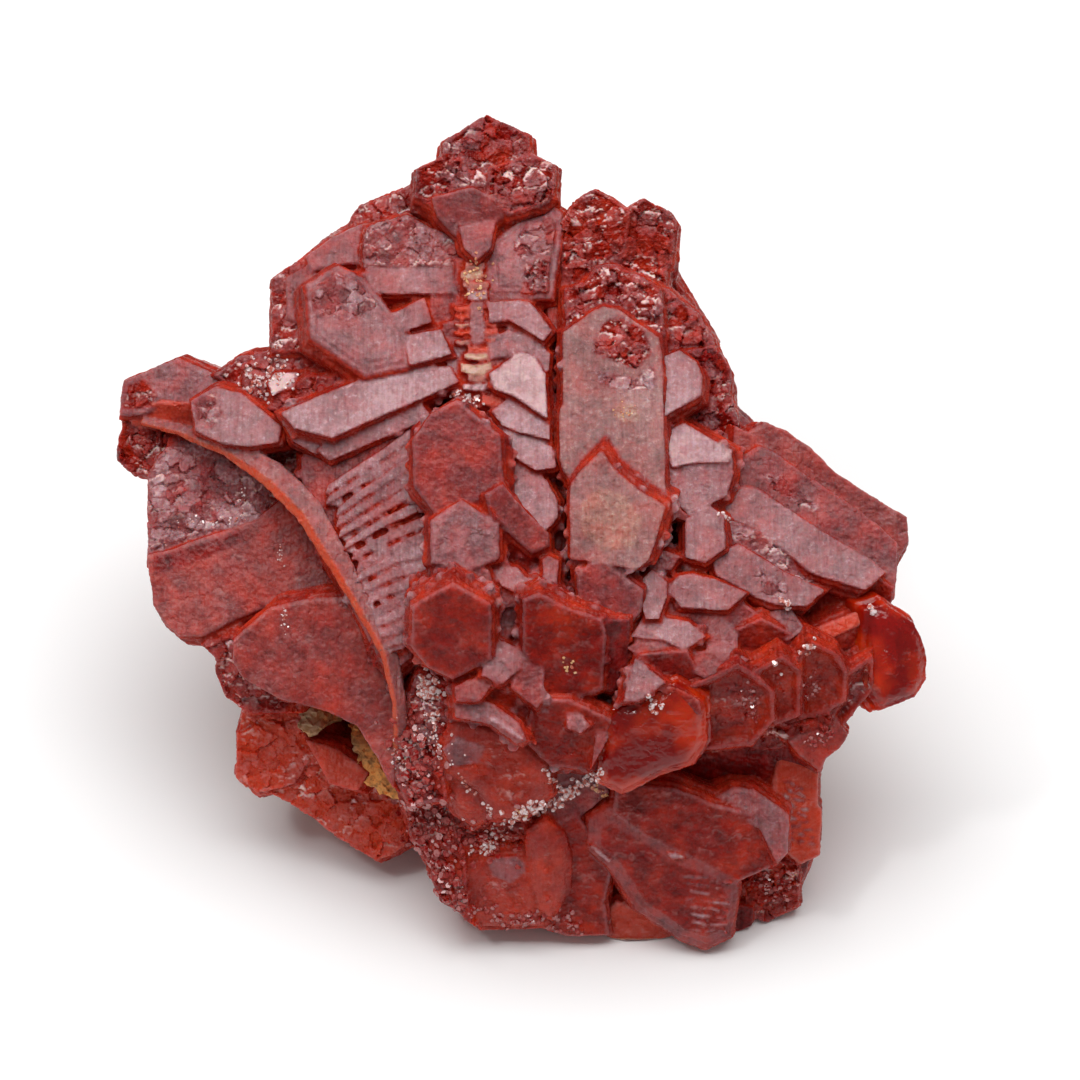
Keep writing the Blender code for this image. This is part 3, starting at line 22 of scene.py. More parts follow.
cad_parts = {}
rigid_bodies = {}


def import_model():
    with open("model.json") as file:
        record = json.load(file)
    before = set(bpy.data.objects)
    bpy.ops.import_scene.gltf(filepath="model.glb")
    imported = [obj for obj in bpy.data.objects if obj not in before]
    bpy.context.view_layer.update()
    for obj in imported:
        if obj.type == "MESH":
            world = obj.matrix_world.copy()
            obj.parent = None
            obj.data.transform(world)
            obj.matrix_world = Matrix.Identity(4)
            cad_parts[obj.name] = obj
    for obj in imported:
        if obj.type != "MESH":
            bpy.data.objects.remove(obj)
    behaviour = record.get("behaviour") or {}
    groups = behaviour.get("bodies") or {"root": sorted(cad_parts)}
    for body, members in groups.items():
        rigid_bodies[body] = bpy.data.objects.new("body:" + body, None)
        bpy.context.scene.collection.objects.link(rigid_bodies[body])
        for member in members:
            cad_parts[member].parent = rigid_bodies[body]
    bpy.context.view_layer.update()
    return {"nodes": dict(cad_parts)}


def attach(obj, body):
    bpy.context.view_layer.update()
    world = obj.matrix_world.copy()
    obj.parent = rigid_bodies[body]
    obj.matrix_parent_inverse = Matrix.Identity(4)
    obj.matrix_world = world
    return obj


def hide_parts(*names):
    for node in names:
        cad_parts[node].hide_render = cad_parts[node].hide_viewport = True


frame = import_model()

bl_info = {
    "name": "Vanadinite on matrix",
    "version": (1, 0, 0),
    "blender": (4, 5, 0),
    "location": "3D View > Sidebar > Specimen",
    "description": "Builds a vanadinite specimen on its packed solids",
    "category": "Add Mesh",
}

# The layout of the sheet, in millimetres and radians
MM = 0.001
SHEET_LEAN = math.radians(50.0)   # between the sheet and the upright
SHEET_HEIGHT = 13.6               # of the sheet's origin over the floor
SHEET_BACK = -1.85                # where the sheet's origin stands front to back
SHEET_SIDE = 0.3                  # and side to side
SHEET_OUT = Vector((0.0, -math.cos(SHEET_LEAN), math.sin(SHEET_LEAN)))
MEETING_DISTANCE = 194.3          # lines square to the sheet meet this far above it
MEETING_SIDE = 0.74               # and this far right of its origin

RIDGE = -6.4                      # b of the ridge between the front wall and the roof
RIDGE_LIFT = 4.6
WALL_RISE = 0.643                 # lift gained for each millimetre up the front wall
ROOF_FALL = 0.259                 # lift lost for each millimetre up the roof
CREST = 1.0                       # a of the highest line, from which both sides fall away
LEFT_FALL = 0.016
RIGHT_FALL = 0.010

LARGEST_PIECE = 185000            # triangles
MERGED = 0.001 * MM               # points of a solid that are nearer than this are one

# The stage, in metres
FLOOR_REACH = 1.5                 # from the middle of the floor to its edges
SOFTBOX_PLACE = (0.0, 0.04, 0.30)
SOFTBOX_SIZE = (0.36, 0.26)
SPARKLE_PLACE = (-0.14, -0.06, 0.28)
SPARKLE_SIZE = (0.03, 0.03)
AIM_HEIGHT = 0.012                # of the point that the lights are aimed at
NEAREST_VIEW = 0.01               # nearest thing that the camera shows

# The shading of the crystals
REFRACTION = 1.6
SHEEN_LEVEL = 0.12                # how much of the gloss the frost leaves
CLEAR_SHEEN_LEVEL = 0.18
SCATTERED = 0.6                   # share of the light that scatters under the surface
SCATTER_DEPTH = 0.5 * MM          # and how deep, here and in the clear crystals
CLEAR_SCATTER_DEPTH = 1.2 * MM
PASSED = 0.45                     # share of the light that passes through a clear crystal
ABSORPTION = 220.0
GRAIN_DEPTH = 0.08 * MM           # of the grain that the bump gives

# The crystals. How a face ends at its edge: pairs of (inset, drop) from the side up to the face
SHARP = ((0.0, 0.06), (0.05, 0.0))
BEVELLED = ((0.0, 0.14), (0.06, 0.05), (0.14, 0.0))
STEPPED = ((0.0, 0.26), (0.05, 0.2), (0.24, 0.18), (0.29, 0.09), (0.5, 0.07), (0.56, 0.0))
HOLLOW = ((0.0, 0.07), (0.08, 0.0), (0.2, 0.02), (0.42, 0.36), (0.75, 0.44))
DOMED = ((0.0, 0.5), (0.14, 0.22), (0.36, 0.06), (0.7, 0.0))
# and how its foot steps out of the crust, in the same pairs
FOOT = ((-0.3, 0.95), (-0.25, 0.85), (-0.15, 0.8), (-0.12, 0.36), (0.0, 0.3))
# The ledge down the sides of a long crystal, as pairs of (inset, share of its length)
LEDGES = ((-0.3, 0.66), (-0.18, 0.64), (-0.18, 0.45), (-0.3, 0.43))
LEDGED = 3.0                      # crystals longer than this have it
OVERGROWTH = 0.08                 # how far crystals have grown past their outlines

# A finish: the edge, and how pale the edge line is (frost and a painted highlight), then how much
# the face is crumpled, stained warm, frosted pale with a painted sheen, and lit through as painted glow
Finish = namedtuple("Finish", "edge rim pits warm frost glow")
FINISHES = {
    "white": Finish(SHARP, 1.4, 0.1, 0.0, 1.5, 0.0),
    "bright": Finish(SHARP, 1.0, 0.1, 0.0, 1.2, 0.0),
    "pale": Finish(SHARP, 0.7, 0.15, 0.0, 0.85, 0.0),
    "milky": Finish(SHARP, 0.6, 0.2, 0.0, 0.62, 0.05),
    "satin": Finish(BEVELLED, 0.5, 0.25, 0.0, 0.42, 0.1),
    "plain": Finish(BEVELLED, 0.4, 0.25, 0.0, 0.24, 0.2),
    "sheet": Finish(BEVELLED, 0.4, 0.3, 0.1, 0.22, 0.35),
    "deep": Finish(BEVELLED, 0.3, 0.3, 0.0, 0.03, 0.3),
    "dark": Finish(BEVELLED, 0.15, 0.3, 0.0, 0.02, 0.0),
    "lit": Finish(BEVELLED, 0.4, 0.3, 0.2, 0.12, 0.9),
    "blade": Finish(STEPPED, 0.5, 0.2, 0.0, 0.55, 0.1),
    "prism": Finish(STEPPED, 0.25, 0.3, 0.0, 0.04, 0.25),
    "rough": Finish(BEVELLED, 0.15, 0.9, 0.0, 0.25, 0.3),
    "cracked": Finish(BEVELLED, 0.2, 1.0, 0.0, 0.14, 0.35),
    "pitted": Finish(BEVELLED, 0.3, 1.0, 0.0, 0.32, 0.2),
    "glinting": Finish(BEVELLED, 0.5, 0.75, 0.0, 0.8, 0.1),
    "speckled": Finish(SHARP, 0.6, 0.15, 0.2, 0.55, 0.1),
    "ochre": Finish(BEVELLED, 0.6, 0.25, 0.45, 0.85, 0.2),
    "stained": Finish(SHARP, 1.1, 0.1, 0.85, 1.25, 0.2),
    "fiery": Finish(BEVELLED, 0.3, 0.8, 0.1, 0.3, 0.9),
    "hollow": Finish(HOLLOW, 0.2, 0.5, 0.0, 0.05, 0.4),
    "glowing": Finish(DOMED, 0.1, 0.5, 0.0, 0.08, 0.6),
    "clear": Finish(DOMED, 0.0, 0.2, 0.0, 0.0, 1.0),
    "ridge": Finish(SHARP, 0.3, 0.3, 0.1, 0.5, 0.2),
    "underside": Finish(SHARP, 0.3, 0.3, 0.8, 0.25, 1.1),
}
# the glow on the sides is painted light that keeps the gaps between the crystals red
SIDE = (0.25, 0.0, 0.02, 0.45)    # pits, warmth, frost and glow of a crystal's sides
EDGE_PITS = 0.1                   # pits of its edges
CRUMPLED = 0.6                    # faces with more pits than this are crumpled
CRUMPLED_SIDE_PITS = 0.5          # and so are the sides and edges next to them
CRUMPLED_EDGE_PITS = 0.55
FROST_AND_SHEEN_SHIFT = 0.12                # how far a face's frost strays from its finish
SEEDED_REACH = 9.5                # crystals nearer the middle have seedlings round the foot
SEEDLING_LENGTH = 2.4             # of a seedling, for its half width
SEEDLING_TILT = 0.45
SEEDLING_CROWD = 6.0e6            # most seedlings on a square metre
GRAIN_TILT = 0.7                  # how far the grains of druse lean
REAR_TIP = (0.2, 0.0, 0.3, 0.1, 0.0)    # the band on a rear crystal's point
STEP_WIDTH = 0.08                 # of a bar in a row of bright steps
STEP_HEIGHT = 0.06
STEP_LENGTHS = (0.12, 0.5)        # of a bar, and of the gap after it, as shares of the row
STEP_GAPS = (0.04, 0.25)
STEP_TILT = 0.08                  # how far a bar's ends stray
SPINE_PROUD = 0.45                # of the spine's slabs
SPINE_SLOPE = (0.0, -0.3)
SPINE_ROOT = (0.0, -0.3, -1.6)
RIB_SWAY = 0.06                   # how far the middle of a rib strays
RIB_STARTS = (-0.35, 0.0)         # how far its left end strays
BRIDGE_WIDTHS = (0.1, 0.24)       # half width of what closes the slot below it
BRIDGE_DROP = 0.06                # from the ribs to the bridges
REAR_SEEDS = 2.4                  # size of the seedlings at the rear, for those at the front
SMALL = 2.2                       # crystals narrower than this have a scaled-down edge

# Each crystal: its end face as points on the sheet, how proud it stands of the crust's general
# relief, the slope of its end face (lift per millimetre to the right, and up), where its root
# lies from the end face (right, up, lift), and its finish
CROWN_CRYSTAL = [
    # three lobes in one plane, the block under them and the small stub at its foot
    ([(-3.4, 17.35), (-1.6, 18.45), (0.2, 17.65), (0.25, 16.0), (-1.5, 15.1), (-3.5, 15.9)],
     0.7, (0.0, -0.2), (0.1, -2.6, -4.6), "pitted"),
    ([(-4.6, 16.15), (-3.4, 16.75), (-1.7, 16.2), (-1.6, 14.7), (-3.1, 14.1), (-4.65, 15.0)],
     0.75, (0.05, -0.2), (0.5, -2.2, -4.6), "pitted"),
    ([(-1.4, 16.2), (0.3, 16.8), (1.4, 16.3), (1.35, 15.0), (0.9, 14.65), (-0.6, 14.2), (-1.6, 14.9)],
     0.7, (-0.05, -0.2), (-0.5, -2.2, -4.6), "pitted"),
    ([(-3.9, 14.9), (-2.2, 15.3), (-0.6, 14.6), (-1.2, 13.8), (-2.9, 13.3), (-3.7, 14.1)],
     0.75, (0.0, 0.1), (0.2, -1.4, -4.6), "plain"),
    ([(-2.75, 13.6), (-1.2, 13.9), (-1.45, 12.7), (-2.0, 12.2), (-2.55, 12.7)],
     0.8, (0.0, -0.5), (0.0, -0.6, -4.6), "satin"),
]

UPPER_LEFT_FAN = [
    # the bed, then the rim that closes the fan at the back
    ([(-10.4, 8.4), (-10.2, 10.9), (-7.8, 13.0), (-5.0, 14.6), (-1.0, 14.0), (1.2, 13.8), (1.15, 1.4),
      (0.6, 0.6), (-0.8, 1.8), (-1.1, 4.5), (-2.9, 6.1), (-4.5, 5.7), (-8.0, 4.5), (-10.4, 5.0),
      (-12.2, 6.4), (-12.2, 7.6)],
     -1.5, (0.1, -0.26), (0.8, -0.5, -5.0), "rough"),
    ([(-10.95, 8.2), (-10.9, 11.35), (-9.9, 12.0), (-8.3, 13.35), (-7.6, 13.7), (-7.1, 14.5),
      (-4.65, 15.5), (-3.4, 15.0), (-3.2, 12.0), (-5.5, 9.5), (-8.0, 8.2)],
     -0.9, (0.1, -0.3), (1.2, -1.2, -4.0), "rough"),
    ([(-10.3, 11.35), (-9.4, 11.9), (-8.9, 11.4), (-9.15, 9.0), (-10.2, 9.7)],
     -0.1, (0.2, -0.3), (0.8, -0.4, -3.5), "plain"),
    ([(-9.4, 12.3), (-8.2, 13.2), (-7.0, 13.7), (-6.9, 12.1), (-8.2, 12.0), (-9.2, 11.7)],
     -0.3, (0.2, -0.4), (0.8, -0.4, -3.5), "satin"),
    # crackled blade with a smooth pale slab in front of it
    ([(-7.0, 12.6), (-6.75, 13.6), (-5.1, 14.1), (-4.1, 13.6), (-2.8, 13.1), (-2.7, 11.9), (-6.9, 11.9)],
     0.1, (0.05, -0.3), (0.4, -0.6, -3.5), "glinting"),
    ([(-6.95, 11.6), (-5.0, 12.1), (-3.0, 12.05), (-2.75, 10.8), (-6.0, 10.75), (-6.8, 11.1)],
     0.2, (0.05, -0.52), (0.2, -0.6, -3.5), "milky"),
    # the big blade and the small steps at its foot
    ([(-9.3, 11.1), (-8.0, 11.95), (-6.9, 11.4), (-5.2, 9.2), (-5.0, 7.65), (-6.8, 7.3), (-9.1, 8.9)],
     1.1, (0.08, -0.36), (-0.6, -1.2, -3.5), "blade"),
    ([(-5.6, 9.9), (-4.3, 10.5), (-4.0, 9.5), (-5.1, 9.1)],
     0.5, (0.1, -0.5), (0.2, -0.4, -3.0), "milky"),
    ([(-5.1, 8.85), (-3.6, 9.15), (-3.15, 8.1), (-4.9, 7.65)],
     0.7, (0.1, -0.52), (0.2, -0.4, -3.0), "pale"),
    ([(-4.0, 10.7), (-2.6, 10.75), (-2.4, 9.7), (-3.9, 9.6)],
     0.0, (0.0, -0.2), (0.2, -0.4, -3.0), "plain"),
    ([(-3.5, 9.4), (-2.4, 9.6), (-2.3, 8.4), (-3.1, 8.3)],
     0.2, (0.0, -0.1), (0.2, -0.4, -3.0), "plain"),
    ([(-3.3, 8.2), (-2.4, 8.3), (-2.3, 6.4), (-3.0, 6.3), (-3.2, 7.2)],
     0.1, (0.0, -0.2), (0.2, -0.4, -3.0), "milky"),
    # the bed of the spine
    ([(-2.9, 12.2), (-1.4, 12.2), (-1.1, 6.0), (-2.0, 5.7), (-2.9, 6.2)],
     0.05, (0.0, -0.26), (0.0, -0.4, -4.0), "deep"),
    # right of the spine: a tall blade, then the stair of ribs beside the cleft
    ([(-1.5, 12.8), (0.0, 13.9), (1.25, 14.5), (1.65, 14.2), (1.65, 13.7), (1.2, 10.6), (-1.5, 10.6)],
     0.1, (0.0, -0.3), (0.0, -0.6, -4.0), "blade"),
    ([(-1.5, 10.3), (-0.2, 10.4), (0.3, 10.3), (1.2, 9.1), (0.9, 8.7), (-0.6, 9.6), (-1.4, 9.5)],
     0.5, (0.0, -0.55), (0.0, -0.5, -3.5), "milky"),
    ([(-1.5, 8.7), (-0.6, 9.1), (0.3, 8.8), (1.15, 8.1), (1.1, 7.4), (-0.1, 8.1), (-1.4, 7.9)],
     0.4, (0.0, -0.35), (0.0, -0.5, -3.5), "milky"),
    ([(-1.4, 7.2), (-0.1, 8.15), (0.5, 7.9), (0.95, 7.2), (1.0, 5.4), (-0.4, 6.3), (-1.2, 6.6)],
     0.8, (-0.02, -0.5), (0.0, -0.5, -3.5), "bright"),
    ([(-1.3, 5.6), (-0.5, 6.2), (1.1, 5.25), (1.15, 4.4), (-0.1, 4.7), (-0.9, 5.0)],
     0.8, (-0.02, -0.5), (0.0, -0.5, -3.5), "pale"),
    ([(-0.85, 4.9), (-0.2, 4.8), (1.25, 4.0), (1.4, 3.2), (0.6, 3.05), (-0.8, 3.9)],
     0.8, (-0.02, -0.48), (0.0, -0.5, -3.5), "pale"),
    ([(-0.85, 3.2), (-0.4, 3.5), (1.0, 2.6), (1.45, 1.7), (1.45, 1.0), (0.9, 0.4), (-0.85, 1.6)],
     0.8, (0.0, -0.44), (0.0, -0.4, -3.5), "milky"),
    # the long pale prism that closes the fan below, and the slabs beside it
    ([(-10.4, 5.5), (-9.0, 6.15), (-5.5, 7.5), (-3.2, 7.45), (-2.9, 6.9), (-4.4, 6.2), (-7.0, 5.1),
      (-8.3, 4.5), (-9.9, 4.9)],
     1.0, (0.12, -0.52), (0.4, -0.2, -3.5), "pale"),
    ([(-8.9, 3.9), (-8.3, 4.4), (-4.6, 6.1), (-4.0, 5.3), (-5.1, 4.9), (-8.4, 3.5)],
     0.6, (0.14, -0.3), (0.4, -0.2, -3.5), "milky"),
    ([(-10.3, 4.9), (-8.6, 5.0), (-8.2, 4.3), (-9.0, 3.75), (-10.0, 4.3)],
     0.7, (0.1, -0.5), (0.4, 0.0, -3.5), "pale"),
    ([(-11.2, 5.7), (-10.8, 6.1), (-9.4, 7.1), (-6.9, 7.1), (-10.3, 5.5)],
     0.1, (0.15, 0.1), (0.5, 0.3, -3.5), "rough"),
    ([(-13.4, 7.15), (-12.3, 7.9), (-11.0, 8.2), (-9.6, 8.2), (-9.7, 7.0), (-11.1, 5.8), (-12.4, 6.4)],
     -0.5, (0.2, -0.1), (1.2, -0.2, -3.5), "pitted"),
    ([(-11.1, 6.8), (-10.8, 7.25), (-9.8, 7.25), (-10.1, 6.7), (-10.9, 6.25)],
     0.3, (0.1, -0.6), (0.4, 0.0, -3.0), "white"),
]

RIBBED_FACE = [
    ([(-9.6, 3.6), (-8.0, 3.9), (-4.7, 5.0), (-4.6, 2.0), (-3.8, 0.6), (-3.9, -1.8), (-4.8, -2.9),
      (-4.9, -5.0), (-5.8, -5.8), (-6.5, -4.6), (-8.4, -1.0), (-9.4, 1.2)],
     -0.1, (0.24, -0.22), (0.6, -0.4, -5.0), "plain"),
]
# The comb on it: RIB_COUNT thin slabs across the face, from the first to the last rib
RIB_COUNT = 15
RIB_WIDTHS = (0.36, 0.44)         # of a rib at its left and its right end
RIB_BRIDGES = 4                   # how many places in the slot below a rib may be closed
RIB_PROUD = 0.35
RIB_FIRST = ((-8.5, 2.2), (-4.9, 4.6))
RIB_LAST = ((-6.0, -4.6), (-4.9, -4.2))
RIB_SLANT = 0.12                  # a rib's upper left corner lies this far right of its lower one
RIB_BULGE = 0.9                   # how far the ribs reach right beside the middle crystals' gap
RIB_BULGE_START = 0.3             # as shares of the way from the first rib to the last
RIB_BULGE_LENGTH = 0.5
RIB_SLOPE = (0.24, -0.3)
RIB_ROOT = (0.3, -0.3, -2.0)

LEFT_WING = [
    # the bed that carries the plates
    ([(-15.9, 2.6), (-15.4, 4.4), (-12.8, 5.0), (-10.0, 4.4), (-8.6, 1.2), (-6.6, -3.2), (-5.8, -7.0),
      (-5.9, -9.6), (-7.4, -7.4), (-10.5, -6.5), (-12.7, -5.0), (-14.6, -3.8), (-16.0, -2.2)],
     -2.2, (0.2, -0.1), (2.0, 0.5, -3.0), "rough"),
    # three hollowed plates, one over the other
    ([(-16.3, 2.8), (-15.9, 3.6), (-15.0, 4.4), (-12.5, 3.9), (-10.9, 2.6), (-11.6, 0.4), (-13.5, 0.5),
      (-15.0, 0.0), (-15.9, -0.7), (-16.35, -0.9)],
     -0.3, (0.1, -0.3), (1.6, -0.4, -3.0), "glinting"),
    ([(-16.35, -0.7), (-15.5, -0.5), (-11.7, 0.8), (-10.4, 1.8), (-9.2, 0.4), (-8.0, -1.9), (-9.0, -3.0),
      (-11.3, -2.9), (-12.6, -3.4), (-14.0, -4.1), (-15.0, -4.1), (-15.6, -3.6), (-16.1, -2.7)],
     -0.7, (0.05, -0.2), (2.0, -0.3, -3.0), "sheet"),
    ([(-12.6, -4.4), (-11.9, -3.8), (-11.0, -3.0), (-8.9, -2.6), (-7.8, -2.6), (-6.3, -4.9),
      (-5.8, -6.5), (-5.6, -8.5), (-5.7, -10.8), (-6.4, -9.4), (-7.2, -8.1), (-8.6, -7.4), (-10.6, -6.9),
      (-12.2, -6.0), (-12.6, -5.3)],
     -1.3, (0.1, 0.02), (2.0, 1.0, -3.0), "sheet"),
    ([(-14.0, -4.6), (-12.8, -4.2), (-11.0, -5.4), (-10.3, -7.0), (-10.4, -7.5), (-12.1, -7.5),
      (-13.0, -6.8), (-13.4, -5.8), (-13.4, -5.1)],
     -2.0, (0.1, 0.3), (2.4, 1.4, -3.0), "rough"),
    # the knob at the tip
    ([(-17.5, 5.5), (-17.5, 6.2), (-17.35, 6.9), (-16.5, 7.25), (-15.05, 7.85), (-13.45, 7.15),
      (-12.0, 6.3), (-14.0, 5.8), (-15.5, 5.95), (-16.6, 5.5)],
     0.3, (0.1, -0.2), (1.6, -0.6, -3.2), "satin"),
    ([(-14.4, 6.0), (-13.4, 6.6), (-12.3, 6.35), (-10.6, 4.9), (-10.7, 4.3), (-12.0, 4.1),
      (-13.2, 4.3), (-14.2, 4.8)],
     1.1, (0.15, -0.45), (1.0, -0.2, -3.5), "milky"),
    ([(-17.1, 5.5), (-15.8, 6.0), (-14.2, 5.9), (-13.8, 4.6), (-15.6, 4.7), (-17.0, 5.0)],
     -0.1, (0.1, 0.5), (1.6, 0.2, -3.0), "lit"),
    ([(-17.65, 3.5), (-17.6, 4.4), (-17.3, 5.2), (-15.4, 4.9), (-15.0, 4.2), (-16.1, 3.3), (-16.3, 2.8),
      (-17.0, 2.9)],
     -0.2, (0.1, -0.1), (2.0, 0.4, -3.2), "cracked"),
]
# The ridge that curls over the plates: its lower edge and its width, from the knob to its foot
RIDGE_LINE = [(-16.6, 5.0), (-15.0, 4.55), (-13.0, 3.65), (-11.3, 2.4), (-9.9, 1.0), (-8.8, -0.7),
              (-7.4, -2.9), (-6.2, -5.0), (-5.7, -7.2), (-5.6, -9.0), (-5.5, -10.6)]
RIDGE_WIDTHS = [0.35, 0.5, 0.8, 1.2, 1.25, 1.1, 0.9, 0.8, 0.65, 0.55, 0.4]
RIDGE_STANDS = 1.3                # height of the ridge over the relief at its highest
RIDGE_SINKS = 0.4                 # taken off all along it
RIDGE_START = 0.35                # where on a half wave its height starts, and how much it covers
RIDGE_SPREAD = 0.6
RIDGE_LIP = 0.25                  # drop from its crest to its lower lip
RIDGE_DEPTH = 3.6                 # and to its root
RIDGE_UNDERCUT = 0.4

LOWER_LEFT_PLATE = [
    ([(-12.15, -7.3), (-12.45, -8.5), (-12.5, -10.3), (-11.6, -11.15), (-11.0, -11.0), (-10.2, -11.4),
      (-7.8, -13.1), (-6.4, -13.95), (-5.15, -13.3), (-4.9, -12.0), (-5.4, -11.2), (-8.4, -9.6),
      (-9.6, -7.6)],
     -2.8, (0.02, 0.3), (1.6, 1.4, -3.0), "fiery"),
    ([(-12.3, -8.2), (-12.4, -10.2), (-11.6, -11.0), (-10.0, -10.6), (-9.4, -9.6), (-10.4, -7.8)],
     -2.5, (0.1, 0.1), (1.6, 1.4, -3.0), "fiery"),
    ([(-9.4, -8.8), (-8.0, -9.2), (-6.8, -10.2), (-7.2, -10.9), (-8.4, -10.6)],
     -2.2, (0.0, -0.2), (1.0, 0.8, -3.0), "lit"),
]

MIDDLE_CRYSTALS = [
    # the bed
    ([(-4.5, 4.8), (-3.0, 5.8), (-1.1, 4.4), (-0.95, 1.6), (0.8, 0.2), (1.45, -0.8), (1.5, -2.5),
      (2.3, -3.2), (4.4, -3.8), (4.3, -6.4), (3.5, -6.9), (4.0, -7.8), (3.3, -9.9), (1.0, -9.9),
      (-1.6, -7.9), (-2.8, -7.6), (-3.1, -6.2), (-4.6, -5.4), (-4.6, -2.7), (-3.9, -1.0), (-3.8, 0.8),
      (-4.6, 2.4)],
     -1.0, (0.05, 0.02), (0.0, -0.4, -5.0), "rough"),
    # the upper prism leans away to the lower right
    ([(-4.75, 4.4), (-4.0, 5.45), (-2.9, 6.05), (-1.1, 4.6), (-0.9, 2.3), (-2.3, 1.7), (-3.7, 1.1),
      (-4.75, 2.4)],
     2.3, (0.0, -0.06), (0.8, -1.3, -4.5), "plain"),
    ([(-1.6, 2.0), (-0.9, 2.4), (0.2, 1.15), (1.1, 0.3), (1.1, -0.2), (0.4, -0.5), (-0.5, 0.3),
      (-1.4, 1.2)],
     1.6, (-0.3, 0.0), (-0.4, -0.9, -3.5), "plain"),
    ([(-1.3, 1.2), (-0.4, 0.3), (0.4, -0.5), (1.0, -0.8), (0.9, -1.3), (-0.2, -1.4), (-1.2, -0.4)],
     0.6, (0.0, 0.8), (0.0, -0.4, -3.5), "deep"),
    ([(-3.95, 0.8), (-2.7, 1.65), (-1.1, 0.65), (-1.1, -0.8), (-2.5, -1.4), (-3.95, -1.0)],
     2.1, (0.0, -0.2), (0.1, 0.4, -4.5), "satin"),
    ([(-3.85, -1.35), (-2.9, -0.7), (-1.5, -1.4), (-1.3, -2.4), (-2.6, -2.9), (-3.9, -2.3)],
     1.7, (0.0, 0.05), (0.1, 0.4, -4.0), "plain"),
    ([(-3.05, -1.95), (-4.75, -2.9), (-4.8, -4.7), (-4.1, -5.5), (-3.05, -6.0), (-1.45, -5.2),
      (-1.45, -2.85)],
     2.2, (0.05, 0.4), (0.2, 1.3, -4.5), "deep"),
    ([(0.05, -2.65), (0.7, -2.4), (1.9, -3.0), (3.4, -3.5), (3.55, -4.2), (3.4, -6.5), (1.7, -7.1),
      (0.9, -6.7), (0.05, -4.8)],
     1.5, (0.0, 0.4), (0.1, 1.0, -4.5), "deep"),
    ([(3.2, -3.4), (3.7, -3.5), (4.6, -3.5), (4.5, -5.8), (3.8, -6.6), (3.2, -6.4)],
     0.9, (-0.2, 0.5), (0.0, 0.8, -4.0), "dark"),
    # small steps between the proud prisms
    ([(-1.3, -1.3), (-0.9, -1.2), (-0.3, -1.2), (0.75, -2.3), (0.0, -2.4), (-0.9, -2.0)],
     1.2, (0.0, -0.5), (0.0, 0.2, -3.0), "milky"),
    ([(0.85, -0.9), (1.1, -0.7), (1.55, -0.9), (1.45, -2.2), (1.0, -2.3)],
     1.0, (0.0, -0.5), (0.0, 0.2, -3.0), "satin"),
    ([(-1.5, -2.0), (0.1, -2.35), (0.0, -2.9), (-1.4, -2.9)],
     0.9, (0.0, -0.1), (0.0, 0.2, -3.0), "plain"),
    ([(-1.1, -2.8), (-0.2, -2.9), (-0.1, -3.9), (-0.6, -4.2), (-1.15, -3.9)],
     0.5, (0.0, -0.2), (0.0, 0.0, -2.6), "plain"),
    ([(-1.35, -4.5), (-1.0, -4.4), (0.0, -4.9), (-0.15, -5.6), (-0.9, -6.25), (-1.8, -5.9)],
     1.1, (0.0, -0.45), (0.0, 0.3, -3.0), "satin"),
    ([(0.0, -5.05), (0.85, -5.3), (0.9, -6.8), (0.6, -7.3), (-0.5, -6.4), (-0.2, -5.7)],
     0.9, (-0.1, -0.2), (0.0, 0.3, -3.0), "plain"),
    ([(-2.95, -6.4), (-2.3, -6.1), (-1.7, -5.9), (-1.4, -6.4), (-1.9, -7.0), (-2.9, -7.0)],
     0.9, (0.1, -0.3), (0.0, 0.3, -3.0), "plain"),
    ([(-2.95, -7.0), (-1.9, -7.0), (-1.3, -7.2), (-0.2, -8.0), (0.1, -8.7), (-0.3, -8.8), (-1.4, -7.95),
      (-2.9, -7.7)],
     1.5, (0.1, -0.2), (0.0, 0.6, -3.5), "satin"),
    ([(-1.3, -6.4), (-0.8, -6.2), (0.3, -6.9), (0.0, -8.1), (-1.4, -7.2)],
     0.4, (0.2, 0.5), (0.0, 0.3, -3.0), "deep"),
    ([(0.5, -7.0), (2.0, -7.0), (3.9, -7.9), (3.3, -9.5), (3.1, -10.0), (1.2, -9.8), (0.1, -8.7)],
     1.0, (0.0, 0.6), (0.0, 0.8, -3.5), "deep"),
    ([(1.9, -7.5), (2.5, -7.6), (2.9, -8.1), (2.5, -8.4), (1.95, -8.2)],
     1.4, (0.0, -0.3), (0.0, 0.6, -2.0), "satin"),
    ([(3.25, -8.3), (3.8, -8.4), (3.4, -9.2), (2.95, -10.0), (3.05, -9.2)],
     1.5, (0.0, 0.0), (0.0, 0.6, -2.5), "plain"),
]

